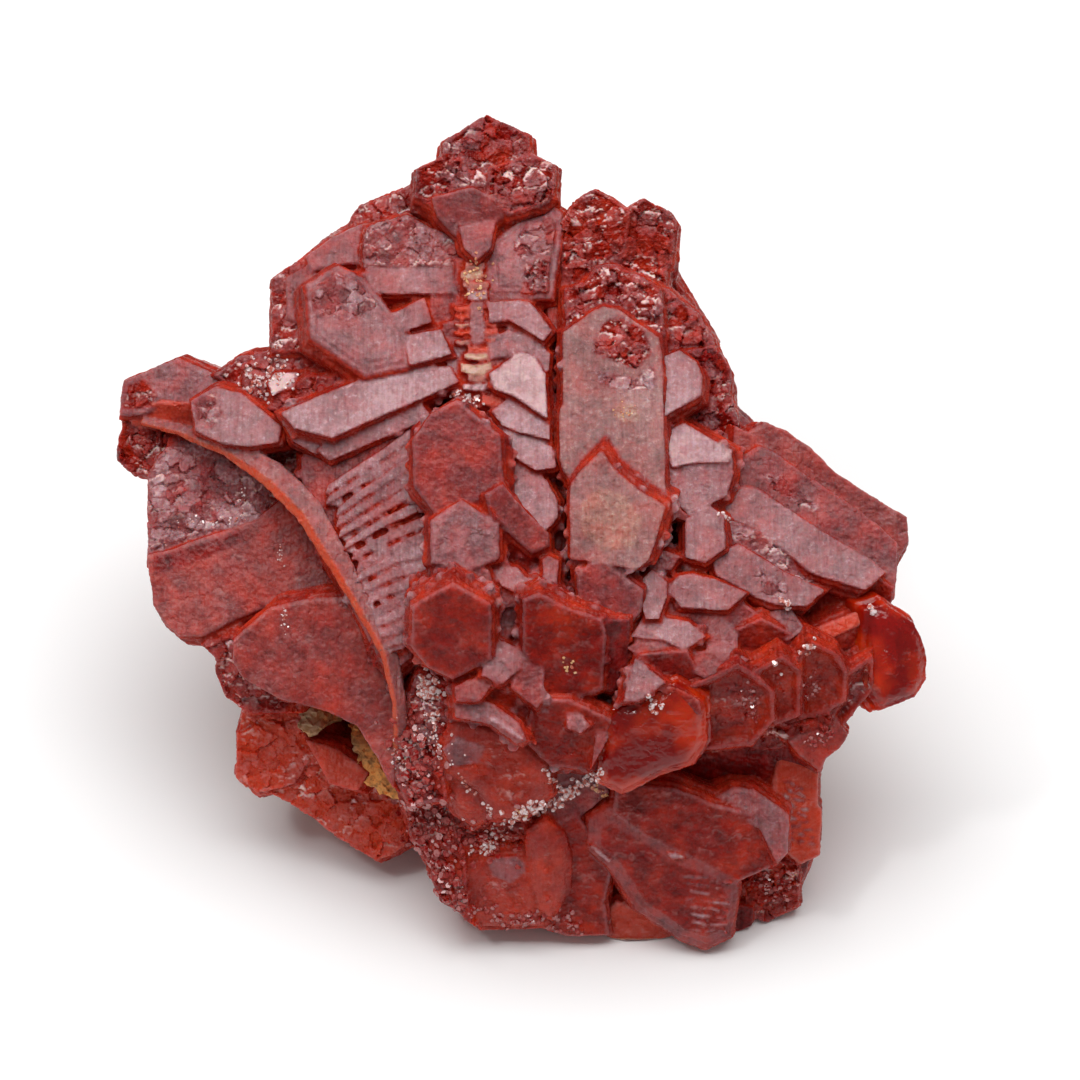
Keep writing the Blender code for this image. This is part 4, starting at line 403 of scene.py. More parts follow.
RIGHT_COLUMN = [
    # the bed
    ([(1.75, 12.8), (2.4, 14.4), (5.9, 14.0), (6.2, 12.0), (8.0, 9.0), (6.0, 8.6), (6.1, 2.3), (5.7, 0.0),
      (5.3, -1.2), (5.0, -3.0), (4.5, -3.5), (2.5, -3.0), (1.3, -1.6), (1.3, 2.4), (1.0, 3.6), (1.0, 12.8)],
     -2.4, (0.0, -0.26), (0.0, -0.4, -4.0), "rough"),
    # the wall of the long cleft
    ([(1.1, 12.6), (1.9, 12.8), (2.0, 2.0), (1.9, -1.6), (1.45, -1.4), (1.3, 1.0)],
     -0.75, (0.0, -0.26), (0.0, -0.4, -2.4), "deep"),
    # the twin tip
    ([(1.45, 13.6), (2.1, 14.5), (2.6, 15.0), (3.1, 15.25), (3.7, 14.95), (4.6, 14.3), (4.4, 12.3),
      (3.4, 11.6), (2.2, 11.1), (1.8, 11.5), (1.55, 12.6)],
     0.0, (0.1, 0.0), (0.6, -2.2, -4.6), "cracked"),
    ([(4.3, 14.3), (4.9, 14.65), (5.3, 14.85), (6.35, 14.25), (6.6, 13.9), (6.45, 12.1), (6.2, 11.9),
      (6.2, 11.2), (5.9, 10.95), (4.4, 11.2), (3.7, 12.0)],
     -0.1, (-0.1, 0.0), (-0.4, -2.2, -4.6), "cracked"),
    # the two big flat prisms, one over the other
    ([(1.85, 10.9), (2.6, 11.15), (3.2, 11.85), (3.8, 12.0), (4.6, 11.7), (5.9, 10.9), (6.1, 9.0),
      (4.0, 8.6), (1.9, 8.8)],
     0.5, (0.0, -0.28), (0.2, -1.0, -4.0), "pitted"),
    ([(5.7, 11.0), (6.3, 10.9), (7.0, 10.25), (7.6, 9.8), (8.1, 9.0), (8.3, 8.3), (6.7, 8.0), (5.8, 8.6)],
     -0.1, (-0.1, -0.25), (0.0, -1.0, -4.0), "pitted"),
    ([(1.8, 9.0), (2.9, 9.8), (3.5, 10.1), (4.1, 10.0), (5.0, 9.35), (5.85, 8.8), (6.0, 7.5), (6.15, 2.2),
      (5.0, 2.2), (2.2, 2.5), (1.85, 3.0), (1.65, 3.6), (1.65, 5.6), (1.8, 5.9)],
     1.2, (0.0, -0.3), (0.1, -0.3, -5.0), "speckled"),
    # the blunt prism below them, and the small one in front of it
    ([(3.4, 3.75), (2.6, 3.0), (2.1, 2.4), (2.1, -0.8), (3.3, -0.95), (4.9, -1.25), (5.4, -0.9), (5.7, 0.0),
      (6.1, 1.4), (5.0, 2.1), (3.9, 3.0)],
     2.1, (0.02, -0.26), (0.5, 0.9, -2.6), "speckled"),
    ([(5.0, 2.9), (6.2, 1.7), (7.15, 1.1), (7.1, 0.8), (6.1, 1.2), (4.6, 2.4)],
     1.2, (-0.1, 0.1), (0.2, 0.2, -3.0), "plain"),
    ([(2.4, -1.5), (3.0, -1.05), (3.5, -0.95), (5.15, -2.2), (5.1, -3.1), (4.6, -3.7), (2.5, -2.9)],
     1.7, (0.0, 0.05), (0.1, 0.7, -4.5), "plain"),
]

RIGHT_SHOULDER = [
    # the bed
    ([(6.4, 8.0), (8.2, 8.4), (9.0, 6.6), (9.2, 4.4), (9.1, 3.0), (8.8, 1.6), (8.7, 0.2), (9.8, -2.2),
      (12.2, -4.0), (12.0, -5.2), (9.4, -5.6), (7.8, -6.1), (6.2, -6.5), (4.7, -6.9), (4.8, -4.0),
      (5.4, -3.0), (5.5, -1.0), (6.0, 0.2), (6.3, 2.0), (6.3, 5.0)],
     -1.4, (0.0, -0.2), (-0.4, -0.2, -5.0), "rough"),
    ([(6.9, 8.2), (8.3, 8.45), (8.8, 7.85), (9.05, 7.3), (9.0, 6.5), (9.3, 5.3), (9.4, 4.7), (9.1, 3.7),
      (7.4, 4.7), (7.7, 6.2)],
     -0.4, (-0.3, -0.05), (-1.0, -1.0, -4.0), "pitted"),
    ([(5.95, 7.9), (6.8, 8.2), (7.5, 7.7), (7.75, 7.1), (7.7, 6.35), (6.1, 5.4)],
     0.9, (-0.05, -0.46), (0.0, -0.7, -3.6), "pale"),
    ([(6.15, 4.6), (7.0, 5.05), (9.05, 3.85), (8.9, 3.4), (7.5, 3.4), (6.5, 3.2)],
     0.9, (-0.06, -0.6), (0.0, 0.0, -3.6), "bright"),
    ([(6.3, 3.4), (9.05, 3.5), (9.1, 2.9), (8.8, 1.95), (7.9, 1.5), (7.15, 1.15), (6.2, 2.2)],
     0.95, (-0.04, -0.28), (0.0, -0.3, -3.6), "milky"),
    ([(7.1, 0.9), (8.1, 1.45), (8.7, 1.0), (8.75, -0.35), (7.9, -0.95), (7.1, -0.7)],
     1.2, (-0.02, -0.42), (0.0, -0.2, -3.4), "milky"),
    ([(5.6, -0.35), (6.8, -0.7), (6.4, -1.3), (5.5, -1.15)],
     0.9, (0.0, -0.3), (0.0, -0.2, -3.0), "plain"),
    ([(5.1, -1.9), (5.6, -1.3), (6.25, -1.8), (6.2, -2.5), (5.9, -3.4), (5.35, -3.4), (5.1, -2.6)],
     1.3, (0.0, -0.45), (0.0, -0.2, -3.0), "milky"),
    ([(6.3, -2.1), (6.8, -1.6), (7.4, -1.5), (8.2, -1.7), (9.65, -2.3), (8.9, -3.0), (6.9, -2.9)],
     1.2, (-0.02, -0.42), (-0.2, -0.2, -3.0), "milky"),
    ([(6.2, -2.9), (8.8, -3.0), (9.4, -2.6), (10.1, -3.2), (9.2, -3.9), (7.6, -3.7), (6.1, -3.4)],
     0.8, (0.0, -0.1), (-0.2, -0.2, -3.0), "plain"),
    ([(4.7, -4.2), (5.2, -3.5), (6.2, -3.4), (7.2, -3.6), (7.9, -4.2), (7.0, -4.75), (6.1, -4.3)],
     1.2, (0.0, -0.4), (-0.1, 0.0, -3.0), "milky"),
    ([(4.5, -4.7), (5.4, -4.15), (6.1, -4.2), (7.1, -4.8), (5.0, -5.05)],
     1.0, (0.0, -0.15), (0.0, 0.1, -3.0), "satin"),
    ([(4.9, -5.15), (6.15, -6.2), (5.0, -7.0), (4.4, -7.0), (4.6, -6.1)],
     1.2, (0.05, -0.35), (0.0, 0.4, -3.0), "milky"),
    ([(8.2, -3.3), (8.6, -3.3), (9.3, -4.0), (9.3, -4.9), (8.0, -4.8), (8.0, -3.9)],
     0.9, (0.0, -0.35), (-0.2, 0.0, -3.0), "satin"),
    ([(7.2, -4.9), (9.0, -4.8), (9.8, -5.2), (9.4, -5.5), (7.9, -6.0), (7.4, -5.7)],
     1.0, (0.0, -0.25), (-0.1, 0.2, -3.0), "plain"),
    ([(9.3, -3.9), (10.4, -3.45), (11.6, -4.1), (11.4, -4.9), (10.1, -5.6), (9.3, -4.9)],
     0.7, (-0.1, 0.6), (-0.2, 0.4, -3.0), "deep"),
    ([(5.1, -5.0), (7.1, -4.85), (7.6, -5.8), (7.3, -6.5), (6.2, -6.3), (5.4, -5.5)],
     0.7, (0.0, 0.6), (0.0, 0.3, -3.0), "deep"),
    ([(5.9, -6.5), (6.6, -6.4), (7.7, -7.0), (7.7, -7.6), (6.6, -7.0)],
     1.3, (0.0, 0.2), (0.0, 0.4, -3.0), "deep"),
    ([(10.6, -3.3), (11.5, -2.8), (12.3, -3.9), (11.5, -4.4)],
     1.0, (-0.1, -0.3), (-0.4, 0.2, -3.0), "satin"),
]

RIGHT_BUNDLE = [
    # four long prisms, from the back one forward; their ends turn down to the ridge
    ([(9.35, 4.9), (9.8, 4.65), (10.6, 5.1), (11.5, 4.75), (12.4, 4.1), (13.6, 2.95), (15.0, 2.0),
      (16.7, 1.0),
      (16.8, 0.0), (16.3, -0.9), (12.0, 0.8), (9.2, 2.9)],
     -0.3, (-0.04, -0.05), (-2.6, -1.6, -4.0), "sheet"),
    ([(9.3, 3.5), (10.3, 4.05), (10.8, 3.85), (14.8, 1.15), (16.3, -0.1), (16.2, -2.0), (15.2, -1.0),
      (12.0, 0.9), (9.6, 1.8)],
     0.3, (-0.05, -0.25), (-2.6, -1.0, -4.0), "plain"),
    ([(8.8, 1.5), (9.5, 2.25), (10.1, 2.25), (12.9, 0.4), (15.1, -0.9), (15.7, -1.4), (14.9, -2.1),
      (12.6, -1.4), (11.2, -0.2), (8.9, 0.9)],
     0.7, (-0.06, -0.46), (-2.4, -0.6, -4.0), "milky"),
    ([(8.8, 1.0), (10.3, 0.3), (12.0, -0.7), (13.2, -1.6), (12.4, -2.0), (9.6, -0.6), (8.8, 0.0)],
     0.5, (-0.05, -0.15), (-2.0, -0.4, -3.6), "glinting"),
    ([(8.3, -0.95), (8.6, -0.6), (9.4, -0.25), (11.5, -1.5), (13.05, -2.2), (12.4, -2.8), (11.0, -2.75),
      (10.3, -2.5), (8.5, -1.5)],
     1.1, (-0.06, -0.46), (-1.6, -0.4, -3.6), "milky"),
    ([(11.7, -3.0), (12.6, -2.1), (13.6, -1.7), (15.2, -1.5), (16.15, -2.1), (15.95, -3.05), (15.0, -3.1),
      (12.8, -4.1)],
     0.2, (0.0, 0.5), (-2.6, 0.6, -4.0), "deep"),
    ([(12.4, -4.1), (13.0, -3.8), (15.2, -2.85), (15.6, -3.2), (13.2, -4.4), (12.6, -4.5)],
     0.8, (0.0, -0.2), (-2.0, 0.8, -3.5), "lit"),
    ([(13.0, -4.2), (14.4, -3.7), (15.3, -3.2), (15.3, -5.3), (14.1, -6.1), (13.8, -5.0)],
     0.3, (-0.3, 0.5), (-2.6, 1.0, -3.5), "deep"),
]

HANGING_CRYSTAL = [
    ([(15.2, -3.3), (15.9, -3.1), (17.1, -3.9), (17.5, -4.8), (17.55, -6.1), (17.1, -6.8), (15.7, -7.35),
      (15.2, -6.5), (15.0, -5.0)],
     0.9, (-0.15, 0.3), (-2.0, 1.2, -3.0), "clear"),
    ([(15.5, -3.2), (15.95, -3.05), (17.1, -3.85), (17.5, -4.7), (17.2, -4.6), (16.4, -3.8)],
     1.0, (-0.1, -0.4), (-1.6, 0.4, -2.0), "clear"),
]

FRONT_ROW = [
    # the bed, then the cells from the left
    ([(7.5, -6.6), (9.3, -5.7), (10.2, -5.8), (11.2, -5.3), (12.6, -4.8), (13.8, -5.3), (15.1, -5.6),
      (15.1, -6.5), (13.8, -8.0), (13.0, -8.6), (11.4, -9.0), (8.0, -9.2), (7.8, -8.0)],
     -0.9, (-0.05, 0.6), (-1.0, 1.0, -4.6), "rough"),
    ([(7.3, -6.4), (8.4, -5.95), (9.35, -5.45), (10.2, -6.0), (10.85, -6.6), (10.9, -7.8), (9.9, -8.9),
      (7.8, -9.1), (7.75, -7.4)],
     0.6, (-0.1, 0.75), (-0.4, 1.2, -3.8), "hollow"),
    ([(10.1, -5.75), (11.25, -5.1), (12.05, -5.7), (12.0, -7.6), (11.0, -8.0), (10.6, -6.6)],
     0.6, (-0.1, 0.75), (-0.6, 1.2, -3.8), "hollow"),
    ([(12.0, -5.1), (12.6, -4.5), (13.6, -4.95), (14.05, -5.7), (14.0, -7.0), (13.3, -7.4), (12.1, -7.8)],
     0.5, (-0.05, 0.75), (-0.8, 1.2, -3.8), "hollow"),
    ([(14.0, -5.9), (15.2, -5.1), (15.25, -6.5), (14.6, -7.2), (13.9, -8.1), (13.4, -7.6), (14.0, -6.9)],
     -0.1, (-0.3, 0.7), (-1.4, 1.2, -3.4), "hollow"),
    ([(10.6, -8.2), (13.3, -7.55), (13.5, -8.2), (11.6, -9.0), (10.5, -9.1)],
     -0.3, (0.0, 0.9), (-0.6, 1.0, -3.4), "cracked"),
    ([(11.6, -8.8), (12.2, -8.5), (13.4, -8.1), (13.6, -7.8), (14.1, -8.5), (13.75, -9.1), (13.2, -9.5),
      (12.9, -10.0), (12.1, -9.4)],
     0.2, (0.0, 0.3), (-1.2, 1.4, -3.4), "sheet"),
    # the dark hollow below the row
    ([(7.6, -8.8), (11.0, -8.7), (13.1, -8.6), (12.8, -10.1), (12.3, -11.6), (8.2, -11.4), (5.6, -10.4)],
     -1.2, (0.0, 0.8), (-0.6, 1.2, -4.0), "dark"),
]

FRONT_TONGUE = [
    ([(4.3, -7.65), (5.2, -7.2), (6.6, -6.6), (7.7, -7.25), (7.8, -8.9), (7.2, -9.8), (5.9, -10.2),
      (4.3, -11.0),
      (3.4, -10.6), (3.45, -9.6), (4.0, -8.0)],
     1.7, (0.0, 0.45), (0.2, 1.6, -4.0), "clear"),
]

LOWER_RIGHT_PRISMS = [
    # the bed
    ([(3.9, -11.2), (8.0, -10.8), (11.4, -9.6), (12.7, -10.3), (12.6, -13.6), (11.8, -15.6), (9.6, -16.4),
      (6.4, -17.2),
      (3.6, -17.0), (3.2, -14.0)],
     -1.4, (-0.05, 0.62), (-0.6, 1.6, -4.6), "dark"),
    ([(4.1, -11.0), (5.0, -10.75), (6.5, -10.85), (8.4, -11.6), (10.0, -12.0), (11.3, -13.5), (11.0, -14.1),
      (9.3, -14.85), (7.1, -13.7), (5.4, -12.9), (4.0, -11.9)],
     0.8, (-0.05, 0.5), (-0.8, 1.8, -4.2), "deep"),
    ([(8.2, -11.4), (9.2, -10.85), (10.1, -10.95), (11.5, -12.0), (11.5, -13.6), (11.1, -14.0), (10.4, -12.6),
      (9.2, -11.8), (8.5, -11.8)],
     1.0, (-0.05, -0.1), (-0.8, 1.4, -3.6), "satin"),
    ([(2.95, -12.3), (3.8, -11.8), (5.0, -12.5), (6.9, -13.65), (8.6, -14.3), (9.25, -14.9), (9.25, -15.7),
      (9.0, -17.3), (8.0, -17.8), (6.9, -17.4), (5.0, -16.1), (3.9, -14.4), (2.9, -13.5)],
     1.0, (0.0, 0.55), (-0.6, 2.0, -4.0), "prism"),
    ([(9.2, -14.9), (11.2, -14.05), (12.0, -14.1), (12.0, -15.95), (10.6, -16.65), (9.95, -16.3),
      (9.2, -16.0)],
     -0.4, (-0.1, 0.7), (-1.0, 2.0, -3.6), "cracked"),
    ([(8.9, -15.9), (10.0, -16.0), (9.95, -16.8), (9.0, -17.15)],
     -0.2, (0.0, 0.7), (-0.6, 1.6, -3.0), "dark"),
    ([(11.1, -9.4), (11.6, -9.2), (12.85, -10.2), (12.8, -11.6), (13.0, -11.8), (12.9, -13.7), (12.1, -14.1),
      (11.3, -13.4), (10.9, -12.0)],
     -0.3, (-0.1, 0.4), (-1.6, 1.6, -3.6), "lit"),
    ([(3.6, -17.2), (4.4, -17.8), (5.2, -17.7), (6.5, -17.2), (5.4, -16.2), (4.1, -15.8), (3.4, -16.4)],
     -0.3, (0.0, 0.7), (0.0, 2.0, -3.0), "lit"),
]

FRONT_BALL = [
    # the bed
    ([(-5.5, -8.4), (-4.6, -5.9), (-3.1, -6.4), (-2.9, -7.8), (-1.5, -8.1), (1.2, -10.0), (3.2, -10.2),
      (3.8, -11.2), (3.1, -13.8), (3.5, -16.6), (-1.8, -16.5), (-4.0, -14.2), (-4.9, -12.4), (-5.4, -10.6)],
     -1.2, (0.1, 0.55), (0.2, 1.6, -4.6), "rough"),
    # crackled flanks
    ([(-5.5, -8.7), (-5.0, -6.8), (-4.5, -5.9), (-3.1, -6.3), (-2.9, -7.9), (-3.6, -9.3), (-3.4, -11.3),
      (-4.9, -11.6), (-5.55, -10.5)],
     0.2, (0.5, 0.25), (0.4, 1.0, -3.6), "pitted"),
    ([(-4.95, -11.5), (-3.4, -11.2), (-2.6, -13.9), (-2.3, -16.7), (-3.0, -16.0), (-3.5, -15.8),
      (-4.0, -14.6),
      (-3.95, -14.2), (-4.6, -13.5), (-4.9, -12.8)],
     0.3, (0.6, 0.4), (0.8, 1.6, -3.6), "cracked"),
    # the dome and the lens under it
    ([(-3.6, -9.2), (-3.0, -8.1), (-2.0, -7.9), (-0.6, -8.3), (0.9, -9.8), (1.1, -11.2), (0.0, -12.2),
      (-1.3, -12.2), (-2.0, -11.0), (-3.3, -10.3)],
     1.1, (0.05, 0.5), (0.1, 1.4, -4.0), "glowing"),
    ([(-3.15, -10.4), (-2.3, -10.6), (-1.6, -11.3), (-1.3, -12.2), (-2.2, -12.6), (-3.1, -11.8)],
     0.9, (0.1, 0.6), (0.2, 1.4, -3.6), "glowing"),
    ([(-3.2, -12.2), (-1.4, -12.3), (0.6, -12.5), (0.4, -13.8), (-2.4, -14.4), (-3.3, -13.6)],
     0.2, (0.1, 0.5), (0.2, 1.4, -3.4), "cracked"),
    # the lowest ball, its oval neighbour and the slab beside them
    ([(-2.5, -14.3), (-1.5, -13.8), (0.1, -13.6), (0.9, -14.8), (0.75, -16.2), (0.95, -16.9), (-1.8, -16.95),
      (-2.6, -16.3)],
     0.8, (0.05, 0.6), (0.1, 2.0, -3.6), "glowing"),
    ([(0.3, -12.9), (0.9, -12.5), (1.6, -13.0), (1.9, -13.8), (1.9, -15.3), (1.2, -16.5), (0.7, -16.3),
      (0.3, -14.6)],
     1.1, (-0.1, 0.6), (0.0, 2.0, -3.6), "glowing"),
    ([(1.3, -12.5), (2.3, -12.0), (2.9, -12.8), (3.0, -13.7), (3.8, -14.4), (3.5, -15.8), (3.7, -17.2),
      (1.95, -17.2), (0.95, -16.9), (1.8, -15.5), (1.9, -13.9)],
     0.3, (0.0, 0.62), (0.0, 2.0, -3.6), "deep"),
    ([(0.8, -9.9), (3.2, -10.0), (3.7, -11.0), (2.4, -12.1), (1.3, -12.4), (0.5, -11.8)],
     -0.1, (0.0, 0.55), (0.0, 1.4, -3.4), "plain"),
]

# Rear crystals: root (x, y, z), the bearing and the rise of the axis in degrees, radius, length
# each cluster begins with the wide, thin plate that its crystals stand on
BACK_LEFT_CRYSTALS = [
    (-7.0, 4.6, 9.0, 148, 8, 6.4, 1.8),
    (-7.8, 4.5, 11.0, 150, 18, 2.4, 4.6), (-8.8, 2.0, 8.2, 172, 4, 2.2, 3.6),
    (-6.4, 7.2, 9.0, 128, 8, 2.5, 4.4), (-8.0, 4.8, 6.0, 150, -8, 2.1, 3.8),
    (-5.8, 7.4, 13.4, 122, 34, 2.2, 3.6), (-9.2, -0.4, 11.0, 186, 10, 1.9, 3.4),
    (-8.4, 0.2, 5.2, 188, -6, 2.0, 3.0), (-6.0, 7.6, 5.2, 126, -8, 2.0, 3.4),
]
BACK_MIDDLE_CRYSTALS = [
    (-0.2, 9.0, 10.6, 90, 12, 6.0, 1.6),
    (-2.4, 8.6, 14.6, 96, 28, 2.5, 3.9), (1.8, 8.6, 14.0, 84, 24, 2.3, 3.9),
    (-0.4, 9.2, 10.4, 92, 6, 2.6, 3.6), (-3.6, 8.8, 10.6, 108, 8, 2.0, 3.4),
    (3.0, 8.6, 9.8, 74, 4, 2.1, 3.5), (-2.0, 9.2, 6.6, 98, -8, 2.1, 3.2),
    (1.6, 9.0, 6.2, 82, -6, 1.9, 3.2),
]
BACK_RIGHT_CRYSTALS = [
    (7.4, 3.2, 8.4, 36, 6, 5.8, 2.9),
    (7.2, 4.4, 10.6, 48, 14, 2.4, 4.0), (6.2, 6.8, 8.4, 60, 2, 2.2, 3.8),
    (8.8, 1.2, 9.4, 22, 8, 2.3, 4.2), (8.0, 4.2, 5.8, 42, -6, 2.0, 3.4),
    (9.6, -1.8, 10.4, 4, 12, 2.0, 4.4), (9.2, 0.4, 5.0, 12, -6, 1.9, 3.2),
    (6.4, 6.2, 4.8, 58, -8, 1.8, 3.0),
]
REAR_ROOT = 3.0                   # length of a rear crystal behind its root point
TIP_LENGTH = 0.35                 # length of a rear crystal's blunt point, as a share of its radius
TIP_WIDTH = 0.62                  # width of its end face, as a share of its radius

# The stacked slabs of the spine: their ends (a) and edges (b), and their finish
SPINE_SLABS = [
    (-2.5, -1.65, 11.8, 12.1, "ochre"), (-2.7, -1.75, 11.4, 11.7, "stained"),
    (-2.6, -1.5, 11.0, 11.25, "ochre"),
    (-2.4, -1.55, 10.5, 10.85, "bright"), (-2.25, -1.75, 8.6, 10.3, "milky"), (-3.0, -2.4, 10.0, 10.2, "lit"),
    (-2.95, -2.4, 9.65, 9.82, "lit"), (-2.95, -2.4, 9.3, 9.45, "stained"), (-3.0, -2.4, 8.95, 9.1, "lit"),
    (-2.95, -2.4, 8.55, 8.72, "ochre"), (-1.6, -1.15, 9.35, 9.55, "lit"), (-1.65, -1.1, 9.0, 9.2, "lit"),
    (-1.6, -1.2, 8.65, 8.8, "lit"), (-2.4, -1.35, 8.25, 8.42, "lit"), (-2.55, -1.35, 7.9, 8.12, "stained"),
    (-2.7, -1.4, 7.3, 7.68, "stained"), (-2.4, -1.6, 6.95, 7.15, "ochre"), (-2.6, -1.5, 6.55, 6.8, "bright"),
    (-1.8, -1.0, 5.9, 6.35, "lit"),
]
SPINE_SAG = 0.08                  # how far the middle of a slab hangs

# Patches on the faces of crystals, for each cluster: the crystal's place in its table, the
# patch's outline, its height above the face, and its finish
PATCHES = {
    "upper_left_fan": [
        (6, [(-9.1, 10.9), (-8.1, 11.6), (-7.1, 11.2), (-6.3, 10.2), (-7.4, 9.5),
             (-8.9, 9.8)], 0.03, "glinting"),
        (13, [(-0.5, 12.9), (0.2, 13.6), (1.2, 14.0), (1.4, 13.4), (1.2, 12.5),
              (-0.1, 12.2)], 0.03, "glinting"),
        (13, [(0.0, 10.75), (0.15, 12.1), (1.15, 12.3), (1.05, 10.8)], 0.03, "pitted"),
    ],
    "left_wing": [
        (5, [(-17.4, 5.7), (-17.2, 6.7), (-16.5, 7.0), (-15.9, 6.3), (-16.2, 5.8)], 0.03, "cracked"),
        # a dark band under the pitted plate, where that plate shades this one: painted shade
        (2, [(-16.1, -0.75), (-15.4, -0.55), (-12.1, 0.45), (-12.5, -0.2), (-14.4, -1.0),
             (-16.0, -1.5)], 0.03,
         "dark"),
        (6, [(-14.3, 6.0), (-13.5, 6.4), (-13.0, 5.4), (-13.6, 4.8), (-14.2, 5.0)], 0.03, "glinting"),
    ],
    "front_ball": [
        (3, [(-3.5, -9.1), (-2.8, -8.6), (-1.7, -9.0), (-1.9, -9.7), (-3.1, -9.8)], 0.03, "satin"),
        (6, [(-1.5, -13.9), (-0.3, -13.8), (0.2, -14.3), (-0.5, -14.9), (-1.3, -14.6)], 0.03, "satin"),
    ],
    "middle_crystals": [
        # a thin bar along a slab edge, bright with a painted highlight
        (16, [(-1.45, -7.8), (-1.3, -7.65), (0.05, -8.6), (-0.05, -8.75)], 0.08, "bright"),
    ],
    "right_column": [
        (6, [(3.0, 8.2), (3.4, 9.4), (4.1, 9.85), (5.3, 9.1), (5.6, 8.1), (4.9, 7.4),
             (3.9, 7.8)], 0.03, "pitted"),
        (6, [(3.9, 5.4), (4.2, 6.0), (4.9, 5.9), (5.1, 5.3), (4.6, 5.0)], 0.03, "ochre"),
        (6, [(3.2, 7.4), (4.0, 7.2), (4.9, 7.0), (5.75, 7.7), (5.75, 6.6), (4.5, 6.5), (3.3, 6.8)], 0.03,
         "glinting"),
        (7, [(2.5, 1.6), (3.3, 2.3), (4.4, 2.0), (5.2, 0.9), (4.8, -0.3), (3.4, -0.5), (2.5, 0.4)], 0.03,
         "ochre"),
    ],
    "right_bundle": [
        (1, [(10.5, 2.9), (11.2, 2.8), (12.9, 1.5), (12.6, 1.2), (10.9, 2.2)], 0.03, "glinting"),
        (4, [(10.0, -1.5), (10.4, -1.3), (11.5, -1.9), (11.4, -2.6), (10.6, -2.4)], 0.03, "glinting"),
    ],
    "lower_right_prisms": [
        # short bars along the edges, bright with painted highlights
        (3, [(2.9, -13.35), (3.0, -13.25), (3.85, -13.95), (3.75, -14.1)], 0.1, "bright"),
        (3, [(6.3, -13.6), (6.9, -13.7), (7.1, -13.9), (6.5, -13.9)], 0.1, "bright"),
    ],
}
# Rows of short steps, bright with painted highlights, laid out in the same way: the crystal's place
# in its table, the line that the rows' left ends lie on, the line of their right ends, and how many rows
STEP_ROWS = {
    "upper_left_fan": [(13, ((0.3, 12.9), (0.5, 10.9)), ((0.9, 12.3), (1.1, 10.7)), 6)],
    "lower_right_prisms": [
        (3, ((6.9, -14.6), (7.2, -17.0)), ((9.1, -15.0), (8.9, -17.1)), 8),
        (6, ((11.3, -10.5), (11.5, -13.0)), ((12.2, -10.9), (12.7, -13.3)), 9),
    ],
}

# Bright grains beside a line: its points on the sheet, how many, how far they stray, the half
# width of the largest, and how long each stands out for its width
WHITE_DRUSE = [
    ([(-12.0, 6.5), (-11.2, 7.1), (-10.4, 7.5)], 70, 0.42, 0.11, 0.8),
    ([(-4.3, -6.3), (-3.8, -6.6)], 60, 0.24, 0.14, 0.9),
    ([(-4.0, -7.0), (-3.8, -8.2)], 26, 0.22, 0.1, 0.9),
    ([(-4.6, -8.2), (-3.4, -9.6)], 55, 0.5, 0.07, 0.9),
    ([(-5.4, -9.0), (-5.2, -10.0)], 22, 0.18, 0.09, 0.9),
    ([(-2.8, -10.2), (-2.2, -10.9), (-1.2, -12.0)], 26, 0.08, 0.08, 0.9),
    ([(-2.0, -13.6), (-1.4, -13.0), (-0.6, -12.2)], 50, 0.24, 0.1, 0.9),
    ([(-0.6, -12.2), (0.5, -11.6), (1.5, -11.4), (2.1, -10.9), (2.6, -10.6),
      (3.4, -10.1)], 120, 0.17, 0.13, 0.9),
    ([(0.8, -9.9), (1.8, -11.0)], 24, 0.06, 0.09, 0.9),
    ([(-3.1, 6.4), (-2.2, 6.2), (-1.9, 5.9)], 26, 0.1, 0.1, 0.8),
    # the flat grains on the wing's plates are white specks where the plates glint: painted highlights
    ([(-10.5, -0.2), (-10.5, -1.0)], 16, 0.08, 0.05, 0.4),
    ([(-10.4, -3.0), (-10.3, -4.0)], 20, 0.08, 0.05, 0.4),
    ([(-15.0, 0.7), (-12.2, 0.9), (-12.2, 2.4)], 50, 0.1, 0.06, 0.4),
    ([(5.2, -7.0), (5.9, -7.3)], 16, 0.14, 0.12, 0.9),
    ([(10.6, -9.2), (11.4, -2.7)], 2, 0.1, 0.12, 0.9),
    ([(11.3, -2.6), (11.6, -2.9)], 12, 0.12, 0.12, 0.9),
    ([(12.1, -5.0), (12.7, -4.4)], 20, 0.12, 0.1, 0.9),
    ([(15.1, -3.0), (15.4, -3.1)], 10, 0.1, 0.12, 0.9),
    ([(8.4, 1.0), (9.0, 1.0)], 6, 0.1, 0.1, 0.9),
]
GOLD_DRUSE = [
    ([(-2.1, 12.2), (-2.0, 10.4)], 40, 0.28, 0.09, 0.7),
    ([(4.1, 5.6), (4.8, 5.5)], 16, 0.2, 0.05, 0.6),
    ([(1.7, -5.4), (2.3, -5.6)], 14, 0.15, 0.07, 0.6),
    ([(-0.2, -11.8), (0.0, -12.0)], 12, 0.12, 0.1, 0.8),
    ([(3.1, -10.8), (3.3, -11.0)], 12, 0.12, 0.1, 0.8),
]
RED_DRUSE = [
    ([(-4.8, -8.0), (-4.4, -12.0), (-3.2, -15.5)], 260, 0.5, 0.19, 0.4),
    ([(-2.9, -12.6), (-1.0, -13.2)], 70, 0.45, 0.16, 0.4),
    ([(-3.3, -15.6), (-0.5, -16.5), (2.6, -16.8)], 100, 0.22, 0.14, 0.4),
    ([(9.8, -6.3), (10.2, -7.7)], 40, 0.25, 0.1, 0.4),
    ([(12.5, -5.9), (12.6, -7.0)], 26, 0.2, 0.1, 0.4),
    ([(10.2, -14.9), (11.4, -15.2)], 50, 0.3, 0.13, 0.4),
    ([(12.4, -8.8), (13.6, -8.4)], 40, 0.2, 0.1, 0.4),
]




# Settings


def tint(name, description, default):
    """A colour that a user may change."""
    return FloatVectorProperty(
        name=name, description=description, default=default, subtype="COLOR", size=3, min=0.0, max=1.0)


